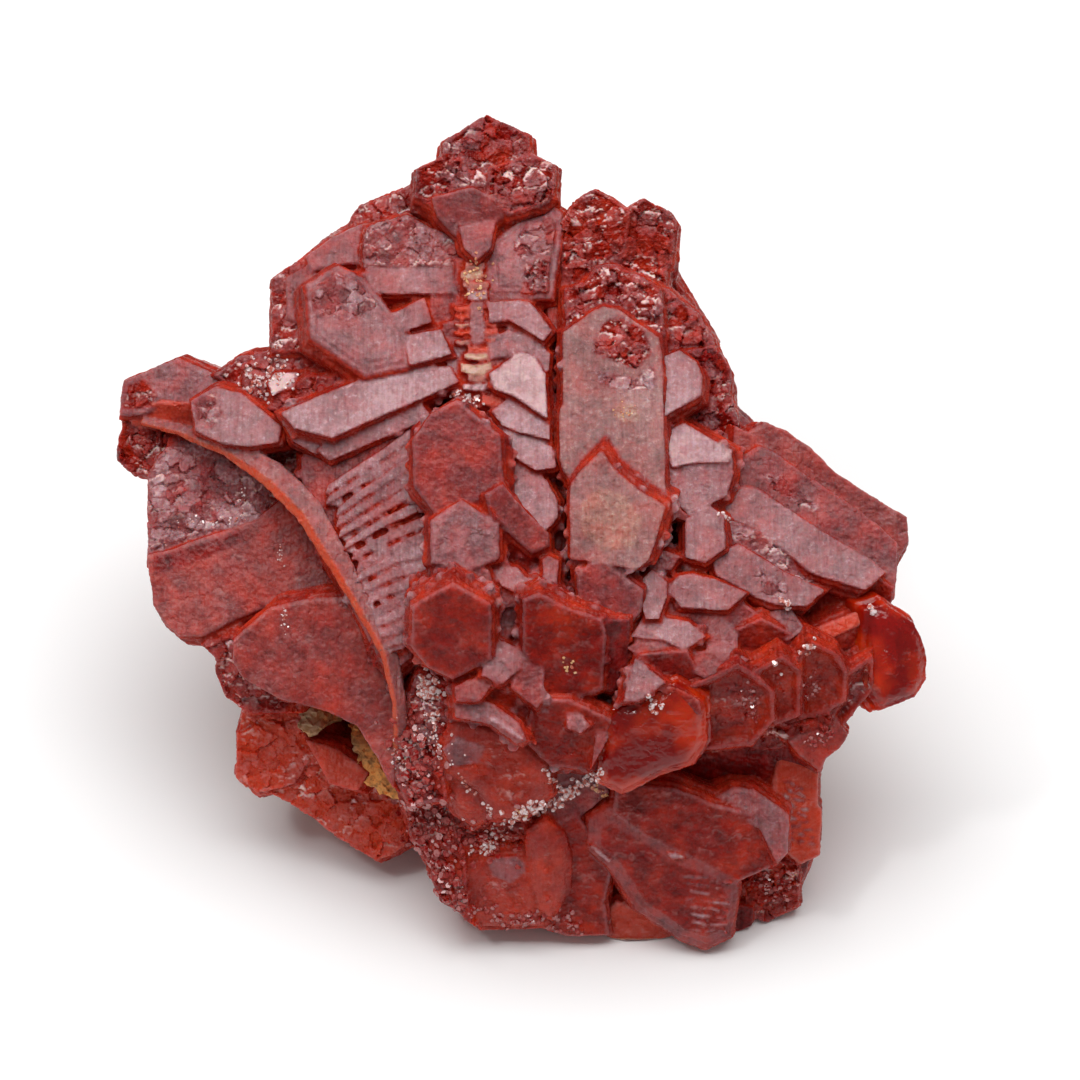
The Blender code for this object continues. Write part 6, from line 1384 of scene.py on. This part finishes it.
def rib_entries():
    """The comb's slabs, evenly spread between the first rib and the last, and their bridges."""
    ribs = []
    vary = random.Random(RIB_COUNT)
    for i in range(RIB_COUNT):
        share = i / (RIB_COUNT - 1)
        left = along_line(RIB_FIRST[0], RIB_LAST[0], share)
        right = along_line(RIB_FIRST[1], RIB_LAST[1], share)
        bulge = RIB_BULGE * max(0.0, math.sin(math.pi * (share - RIB_BULGE_START) / RIB_BULGE_LENGTH))
        half, right_half = RIB_WIDTHS[0] / 2, RIB_WIDTHS[1] / 2
        middle = along_line(left, right, vary.uniform(0.3, 0.7))
        sway = vary.uniform(-RIB_SWAY, RIB_SWAY)
        start = vary.uniform(*RIB_STARTS)
        corners = [(left[0] + start, left[1] - half), (middle[0], middle[1] - half + sway),
                   (right[0] + bulge, right[1] - right_half), (right[0] + bulge, right[1] + right_half),
                   (middle[0], middle[1] + half + sway), (left[0] + start + RIB_SLANT, left[1] + half)]
        ribs.append((corners, RIB_PROUD + sway, RIB_SLOPE, RIB_ROOT, vary.choice(("pale", "milky", "pale"))))
        # the slot below the rib closes here and there
        for step in range(RIB_BRIDGES):
            bridge = along_line(left, right, (step + vary.uniform(0.1, 0.8)) / RIB_BRIDGES)
            wide = vary.uniform(*BRIDGE_WIDTHS)
            outline = [(bridge[0] - wide, bridge[1] - 2 * half), (bridge[0] + wide, bridge[1] - 2 * half),
                       (bridge[0] + wide, bridge[1]), (bridge[0] - wide, bridge[1])]
            word = vary.choice(("milky", "pale"))
            ribs.append((outline, RIB_PROUD - BRIDGE_DROP, RIB_SLOPE, RIB_ROOT, word))
    return ribs


def curled_ridge():
    """The blade that curls over the left wing's plates, as one closed strip."""
    rings = []
    last = len(RIDGE_LINE) - 1
    for i, ((a, b), width) in enumerate(zip(RIDGE_LINE, RIDGE_WIDTHS)):
        before = RIDGE_LINE[max(i - 1, 0)]
        after = RIDGE_LINE[min(i + 1, last)]
        along = Vector((after[0] - before[0], after[1] - before[1])).normalized()
        across = Vector((-along.y, along.x))
        swell = math.sin(math.pi * min(1.0, RIDGE_START + RIDGE_SPREAD * i / last))
        crest = relief(a, b) + RIDGE_STANDS * swell - RIDGE_SINKS
        # (distance across, drop from the crest): lower lip, crest, upper lip, then the root
        section = (
            (0.0, RIDGE_LIP),
            (0.3 * width, 0.0),
            (width, 1.4 * RIDGE_LIP),
            (width, RIDGE_DEPTH),
            (RIDGE_UNDERCUT, RIDGE_DEPTH),
        )
        rings.append([from_sheet(a + across.x * reach, b + across.y * reach, crest - drop)
                      for reach, drop in section])
    # the crest is frosted with a painted highlight, the underside painted with an orange glow
    top, under = band_of(FINISHES["ridge"]), band_of(FINISHES["underside"])
    return closed_solid(rings, [under] * len(rings), [under, top, top, under, under])


def joined(solids):
    """One mesh of several solids."""
    whole = bmesh.new()
    for solid in solids:
        data = bpy.data.meshes.new("solid")
        solid.to_mesh(data)
        solid.free()
        whole.from_mesh(data)
        bpy.data.meshes.remove(data)
    data = bpy.data.meshes.new("crystals")
    whole.to_mesh(data)
    whole.free()
    return data


def hidden_object(name, data):
    obj = bpy.data.objects.new(name, data)
    bpy.context.scene.collection.objects.link(obj)
    obj.hide_render = True
    return obj


def evaluated_mesh(obj, name):
    """What an object's modifiers make, as a plain mesh of its own."""
    depsgraph = bpy.context.evaluated_depsgraph_get()
    data = bpy.data.meshes.new_from_object(obj.evaluated_get(depsgraph))
    data.name = name
    return data


def grown_together(name, solids, material, settings, voxel, seeds=1.0, out=SHEET_OUT, floor=0.1 * MM):
    """A piece whose crystals have grown into one surface.

    Seedlings are scaled by seeds, and there are none where it is 0; they point outwards.
    """
    crystals = hidden_object(name + "_crystals", joined(solids))
    draft = hidden_object(name + "_draft", crystals.data)
    if seeds:
        for obj in (crystals, draft):
            use_tree(obj, tree_named("Seedlings", seedling_tree), {
                "Spacing": seeds * settings.seed_spacing, "Smallest": 0.4 * seeds * settings.seed_size,
                "Largest": seeds * settings.seed_size, "Outward": out, "Seed": len(solids)})
    remesh = draft.modifiers.new("grow", "REMESH")
    remesh.mode = "VOXEL"
    remesh.voxel_size = voxel
    use_tree(draft, tree_named("Crumple", crumple_tree), {
        "Crystals": crystals, "Pit Size": settings.pit_size, "Pit Depth": settings.pit_depth,
        "Floor": floor, "Material": material})
    piece = hidden_object(name, evaluated_mesh(draft, name))
    for helper in (draft, crystals):
        bpy.data.objects.remove(helper, do_unlink=True)
    # flat faces don't need the small triangles that the crumpled ones do
    thinned = piece.modifiers.new("thin", "DECIMATE")
    thinned.ratio = min(settings.kept, LARGEST_PIECE / (2 * len(piece.data.polygons)))
    whole = piece.data
    data = evaluated_mesh(piece, name)
    piece.modifiers.remove(thinned)
    piece.data = data
    bpy.data.meshes.remove(whole)
    piece.hide_render = False
    return piece


def settle(piece, node):
    """Rides a finished piece on the specimen in place of a solid."""
    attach(piece, "root")
    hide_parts(node)
    print(f"{piece.name}: {sum(len(p.vertices) - 2 for p in piece.data.polygons)} triangles")


def grow_cluster(context, node, entries, more=()):
    """Grows a cluster of the front tables, with its patches and steps, in place of its solid."""
    settings = context.scene.crystal_settings
    material = material_for("red_crystal", vanadinite_material, settings)
    grown = list(entries)
    grown += [patch(entries[host], *rest) for host, *rest in PATCHES.get(node, ())]
    for host, *rest in STEP_ROWS.get(node, ()):
        grown += step_rows(entries[host], *rest)
    solids = [crystal(entry) for entry in grown] + list(more)
    settle(grown_together(node + "_growth", solids, material, settings, settings.voxel), node)
    return {"FINISHED"}


def grow_rear_cluster(context, node, entries):
    """Grows a cluster of the rear tables; its seedlings lean the way its first crystal points."""
    settings = context.scene.crystal_settings
    material = material_for("red_crystal", vanadinite_material, settings)
    bearing = math.radians(entries[0][3])
    out = (math.cos(bearing), math.sin(bearing), 0.3)
    solids = [rear_crystal(entry) for entry in entries]
    piece = grown_together(node + "_growth", solids, material, settings, settings.rear_voxel, REAR_SEEDS, out)
    settle(piece, node)


def grains_along(line, surfaces):
    """Spots for the grains beside a line of the sheet: place, normal and size of each."""
    points, count, spread, size, flat = line
    vary = random.Random(f"{points[0][0]:.2f} {points[0][1]:.2f}")
    lengths = [math.dist(p, q) for p, q in zip(points, points[1:])]
    eye = from_sheet(MEETING_SIDE, 0.0, MEETING_DISTANCE)
    spots = []
    for _ in range(count):
        i = vary.choices(range(len(lengths)), lengths)[0]
        share = vary.random()
        a, b = along_line(points[i], points[i + 1], share)
        aim = from_sheet(a + vary.gauss(0.0, spread), b + vary.gauss(0.0, spread), 0.0)
        ray = (aim - eye).normalized()
        hits = [surface.ray_cast(eye, ray) for surface in surfaces]
        hits = [hit for hit in hits if hit[0] is not None]
        if hits:
            place, normal = min(hits, key=lambda hit: hit[3])[:2]
            width = size * vary.uniform(0.45, 1.0) * MM
            spots.append((place, normal, (width, width, width * flat)))
    return spots


def planted_grains(name, spots, material):
    """One piece of all the grains."""
    data = bpy.data.meshes.new(name)
    data.from_pydata([spot[0] for spot in spots], [], [])
    for i, label in ((1, "out"), (2, "size")):
        layer = data.attributes.new(label, "FLOAT_VECTOR", "POINT")
        layer.data.foreach_set("vector", [value for spot in spots for value in spot[i]])
    draft = hidden_object(name + "_draft", data)
    use_tree(draft, tree_named("Grains", grain_tree), {"Material": material, "Seed": 11})
    piece = bpy.data.objects.new(name, evaluated_mesh(draft, name))
    bpy.data.objects.remove(draft, do_unlink=True)
    bpy.context.scene.collection.objects.link(piece)
    return piece


def area_light(name, power, place, size):
    """An area light that is aimed at the specimen."""
    data = bpy.data.lights.new(name, "AREA")
    data.energy = power
    data.shape = "RECTANGLE"
    data.size, data.size_y = size
    lamp = bpy.data.objects.new(name, data)
    lamp.location = place
    lamp.rotation_euler = (Vector((0.0, 0.0, AIM_HEIGHT)) - lamp.location).to_track_quat("-Z", "Y").to_euler()
    bpy.context.scene.collection.objects.link(lamp)


# Operators


class SPECIMEN_OT_crown(bpy.types.Operator):
    """Grow the three-lobed crystal at the top"""
    bl_idname = "specimen.crown"
    bl_label = "Crown crystal"

    def execute(self, context):
        return grow_cluster(context, "crown_crystal", CROWN_CRYSTAL)


class SPECIMEN_OT_fan(bpy.types.Operator):
    """Grow the fan of blades and the stair of ribs left of the cleft"""
    bl_idname = "specimen.fan"
    bl_label = "Upper left fan"

    def execute(self, context):
        return grow_cluster(
            context, "upper_left_fan", UPPER_LEFT_FAN + spine_entries())


class SPECIMEN_OT_ribbed_face(bpy.types.Operator):
    """Grow the comb of thin ribs between the fan and the wing"""
    bl_idname = "specimen.ribbed_face"
    bl_label = "Ribbed face"

    def execute(self, context):
        return grow_cluster(context, "ribbed_face", RIBBED_FACE + rib_entries())


class SPECIMEN_OT_wing(bpy.types.Operator):
    """Grow the hollowed plates on the left with the ridge that curls over them"""
    bl_idname = "specimen.wing"
    bl_label = "Left wing"

    def execute(self, context):
        return grow_cluster(context, "left_wing", LEFT_WING, [curled_ridge()])


class SPECIMEN_OT_lower_left_plate(bpy.types.Operator):
    """Grow the plate under the wing"""
    bl_idname = "specimen.lower_left_plate"
    bl_label = "Lower left plate"

    def execute(self, context):
        return grow_cluster(context, "lower_left_plate", LOWER_LEFT_PLATE)


class SPECIMEN_OT_middle(bpy.types.Operator):
    """Grow the proud prisms in the middle"""
    bl_idname = "specimen.middle"
    bl_label = "Middle crystals"

    def execute(self, context):
        return grow_cluster(context, "middle_crystals", MIDDLE_CRYSTALS)


class SPECIMEN_OT_right_column(bpy.types.Operator):
    """Grow the tall column right of the cleft"""
    bl_idname = "specimen.right_column"
    bl_label = "Right column"

    def execute(self, context):
        return grow_cluster(context, "right_column", RIGHT_COLUMN)


class SPECIMEN_OT_right_shoulder(bpy.types.Operator):
    """Grow the small stepped crystals right of the column"""
    bl_idname = "specimen.right_shoulder"
    bl_label = "Right shoulder"

    def execute(self, context):
        return grow_cluster(context, "right_shoulder", RIGHT_SHOULDER)


class SPECIMEN_OT_right_bundle(bpy.types.Operator):
    """Grow the long parallel prisms on the right"""
    bl_idname = "specimen.right_bundle"
    bl_label = "Right bundle"

    def execute(self, context):
        return grow_cluster(context, "right_bundle", RIGHT_BUNDLE)


class SPECIMEN_OT_clear_crystals(bpy.types.Operator):
    """Grow the two clear crystals: the hanging one and the tongue in front"""
    bl_idname = "specimen.clear_crystals"
    bl_label = "Clear crystals"

    def execute(self, context):
        settings = context.scene.crystal_settings
        material = material_for("clear_crystal", clear_material, settings)
        for node, entries in (("hanging_crystal", HANGING_CRYSTAL), ("front_tongue", FRONT_TONGUE)):
            solids = [crystal(entry) for entry in entries]
            settle(grown_together(node + "_growth", solids, material, settings, settings.voxel, 0.0),
                   node)
        return {"FINISHED"}


class SPECIMEN_OT_front_row(bpy.types.Operator):
    """Grow the row of hollow-ended crystals under the ridge"""
    bl_idname = "specimen.front_row"
    bl_label = "Front row"

    def execute(self, context):
        return grow_cluster(context, "front_row", FRONT_ROW)


class SPECIMEN_OT_lower_right_prisms(bpy.types.Operator):
    """Grow the stout prisms at the lower right"""
    bl_idname = "specimen.lower_right_prisms"
    bl_label = "Lower right prisms"

    def execute(self, context):
        return grow_cluster(context, "lower_right_prisms", LOWER_RIGHT_PRISMS)


class SPECIMEN_OT_front_ball(bpy.types.Operator):
    """Grow the rounded cluster at the front"""
    bl_idname = "specimen.front_ball"
    bl_label = "Front ball"

    def execute(self, context):
        return grow_cluster(context, "front_ball", FRONT_BALL)


class SPECIMEN_OT_back_crystals(bpy.types.Operator):
    """Grow the three clusters at the rear"""
    bl_idname = "specimen.back_crystals"
    bl_label = "Back crystals"

    def execute(self, context):
        for node, entries in (("back_left_crystals", BACK_LEFT_CRYSTALS),
                              ("back_middle_crystals", BACK_MIDDLE_CRYSTALS),
                              ("back_right_crystals", BACK_RIGHT_CRYSTALS)):
            grow_rear_cluster(context, node, entries)
        return {"FINISHED"}


class SPECIMEN_OT_matrix(bpy.types.Operator):
    """Roughen the rock that the crystals stand on"""
    bl_idname = "specimen.matrix"
    bl_label = "Matrix"

    def execute(self, context):
        settings = context.scene.rock_settings
        whole = bmesh.new()
        whole.from_mesh(frame["nodes"]["matrix"].data)
        bmesh.ops.remove_doubles(whole, verts=whole.verts, dist=MERGED)
        layer = whole.faces.layers.float_color.new("finish")
        for face in whole.faces:
            face[layer] = (1.0, 0.0, 0.0, 0.0)
        material = material_for("rough_rock", rock_material, settings)
        crystals = context.scene.crystal_settings
        piece = grown_together("matrix_rock", [whole], material, crystals, settings.voxel, 0.0, floor=0.0)
        settle(piece, "matrix")
        return {"FINISHED"}


class SPECIMEN_OT_druse(bpy.types.Operator):
    """Sprinkle the bright grains along the seams"""
    bl_idname = "specimen.druse"
    bl_label = "Druse"

    def execute(self, context):
        settings = context.scene.crystal_settings
        depsgraph = context.evaluated_depsgraph_get()
        surfaces = [BVHTree.FromObject(obj, depsgraph) for obj in context.scene.objects
                    if obj.name.endswith("_growth")]
        for name, colour, depths, lines in (
                ("white_druse", settings.druse_colour, settings.druse_depths, WHITE_DRUSE),
                ("gold_druse", settings.gold_colour, settings.druse_depths, GOLD_DRUSE),
                ("red_druse", settings.red_colour, settings.body_colour, RED_DRUSE)):
            spots = []
            for line in lines:
                spots += grains_along(line, surfaces)
            piece = planted_grains(name, spots, druse_material(name, colour, depths))
            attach(piece, "root")
        return {"FINISHED"}


class SPECIMEN_OT_stage(bpy.types.Operator):
    """Make the floor, the lights and the camera"""
    bl_idname = "specimen.stage"
    bl_label = "Stage"

    def execute(self, context):
        settings = context.scene.stage_settings
        scene = context.scene
        corners = [(-1, -1), (1, -1), (1, 1), (-1, 1)]
        data = bpy.data.meshes.new("floor")
        data.from_pydata([(FLOOR_REACH * x, FLOOR_REACH * y, 0.0) for x, y in corners], [], [(0, 1, 2, 3)])
        floor = bpy.data.objects.new("floor", data)
        scene.collection.objects.link(floor)
        material, tree = new_material("floor")
        shader(tree, {"Base Color": opaque(settings.floor_colour), "Roughness": 0.6})
        data.materials.append(material)

        world = bpy.data.worlds.new("studio")
        scene.world = world
        world.use_nodes = True
        world.node_tree.nodes.clear()
        tree = Tree(world.node_tree)
        light = tree.node("ShaderNodeBackground", {}, {
            "Color": (1.0, 1.0, 1.0, 1.0), "Strength": settings.fill})
        tree.node("ShaderNodeOutputWorld", {}, {"Surface": light})

        # a broad light overhead, and a small one from the left for the glints
        area_light("softbox", settings.softbox_power, SOFTBOX_PLACE, SOFTBOX_SIZE)
        area_light("sparkle", settings.sparkle_power, SPARKLE_PLACE, SPARKLE_SIZE)

        data = bpy.data.cameras.new("camera")
        data.sensor_width = 36.0
        data.lens = settings.lens
        data.clip_start = NEAREST_VIEW
        camera = bpy.data.objects.new("camera", data)
        origin = Vector((SHEET_SIDE, SHEET_BACK, SHEET_HEIGHT)) * MM
        up = Vector((0.0, math.sin(SHEET_LEAN), math.cos(SHEET_LEAN)))
        turn = Matrix((Vector((1.0, 0.0, 0.0)), up, SHEET_OUT)).transposed().to_4x4()
        stand = origin + Vector((MEETING_SIDE * MM, 0.0, 0.0)) + SHEET_OUT * settings.view_distance
        camera.matrix_world = Matrix.Translation(stand) @ turn
        scene.collection.objects.link(camera)
        scene.camera = camera
        scene.view_settings.view_transform = "Standard"
        return {"FINISHED"}


class SPECIMEN_PT_panel(bpy.types.Panel):
    """The specimen's settings and the buttons that build it"""
    bl_idname = "SPECIMEN_PT_panel"
    bl_label = "Vanadinite on matrix"
    bl_space_type = "VIEW_3D"
    bl_region_type = "UI"
    bl_category = "Specimen"

    def draw(self, context):
        for settings in (context.scene.crystal_settings, context.scene.rock_settings,
                         context.scene.stage_settings):
            box = self.layout.box()
            for name in settings.bl_rna.properties.keys():
                if name not in ("rna_type", "name"):
                    box.prop(settings, name)
        for operator in OPERATORS:
            self.layout.operator(operator.bl_idname)


OPERATORS = (
    SPECIMEN_OT_stage, SPECIMEN_OT_matrix, SPECIMEN_OT_crown, SPECIMEN_OT_fan, SPECIMEN_OT_ribbed_face,
    SPECIMEN_OT_wing, SPECIMEN_OT_lower_left_plate, SPECIMEN_OT_middle, SPECIMEN_OT_right_column,
    SPECIMEN_OT_right_shoulder, SPECIMEN_OT_right_bundle, SPECIMEN_OT_clear_crystals,
    SPECIMEN_OT_front_row, SPECIMEN_OT_lower_right_prisms, SPECIMEN_OT_front_ball,
    SPECIMEN_OT_back_crystals, SPECIMEN_OT_druse,
)
CLASSES = (CrystalSettings, RockSettings, StageSettings, *OPERATORS, SPECIMEN_PT_panel)


def register():
    for item in CLASSES:
        bpy.utils.register_class(item)
    bpy.types.Scene.crystal_settings = PointerProperty(type=CrystalSettings)
    bpy.types.Scene.rock_settings = PointerProperty(type=RockSettings)
    bpy.types.Scene.stage_settings = PointerProperty(type=StageSettings)


def unregister():
    del bpy.types.Scene.stage_settings
    del bpy.types.Scene.rock_settings
    del bpy.types.Scene.crystal_settings
    for item in reversed(CLASSES):
        bpy.utils.unregister_class(item)


def main():
    register()
    for operator in OPERATORS:
        group, name = operator.bl_idname.split(".")
        getattr(getattr(bpy.ops, group), name)()


if __name__ == "__main__":
    main()
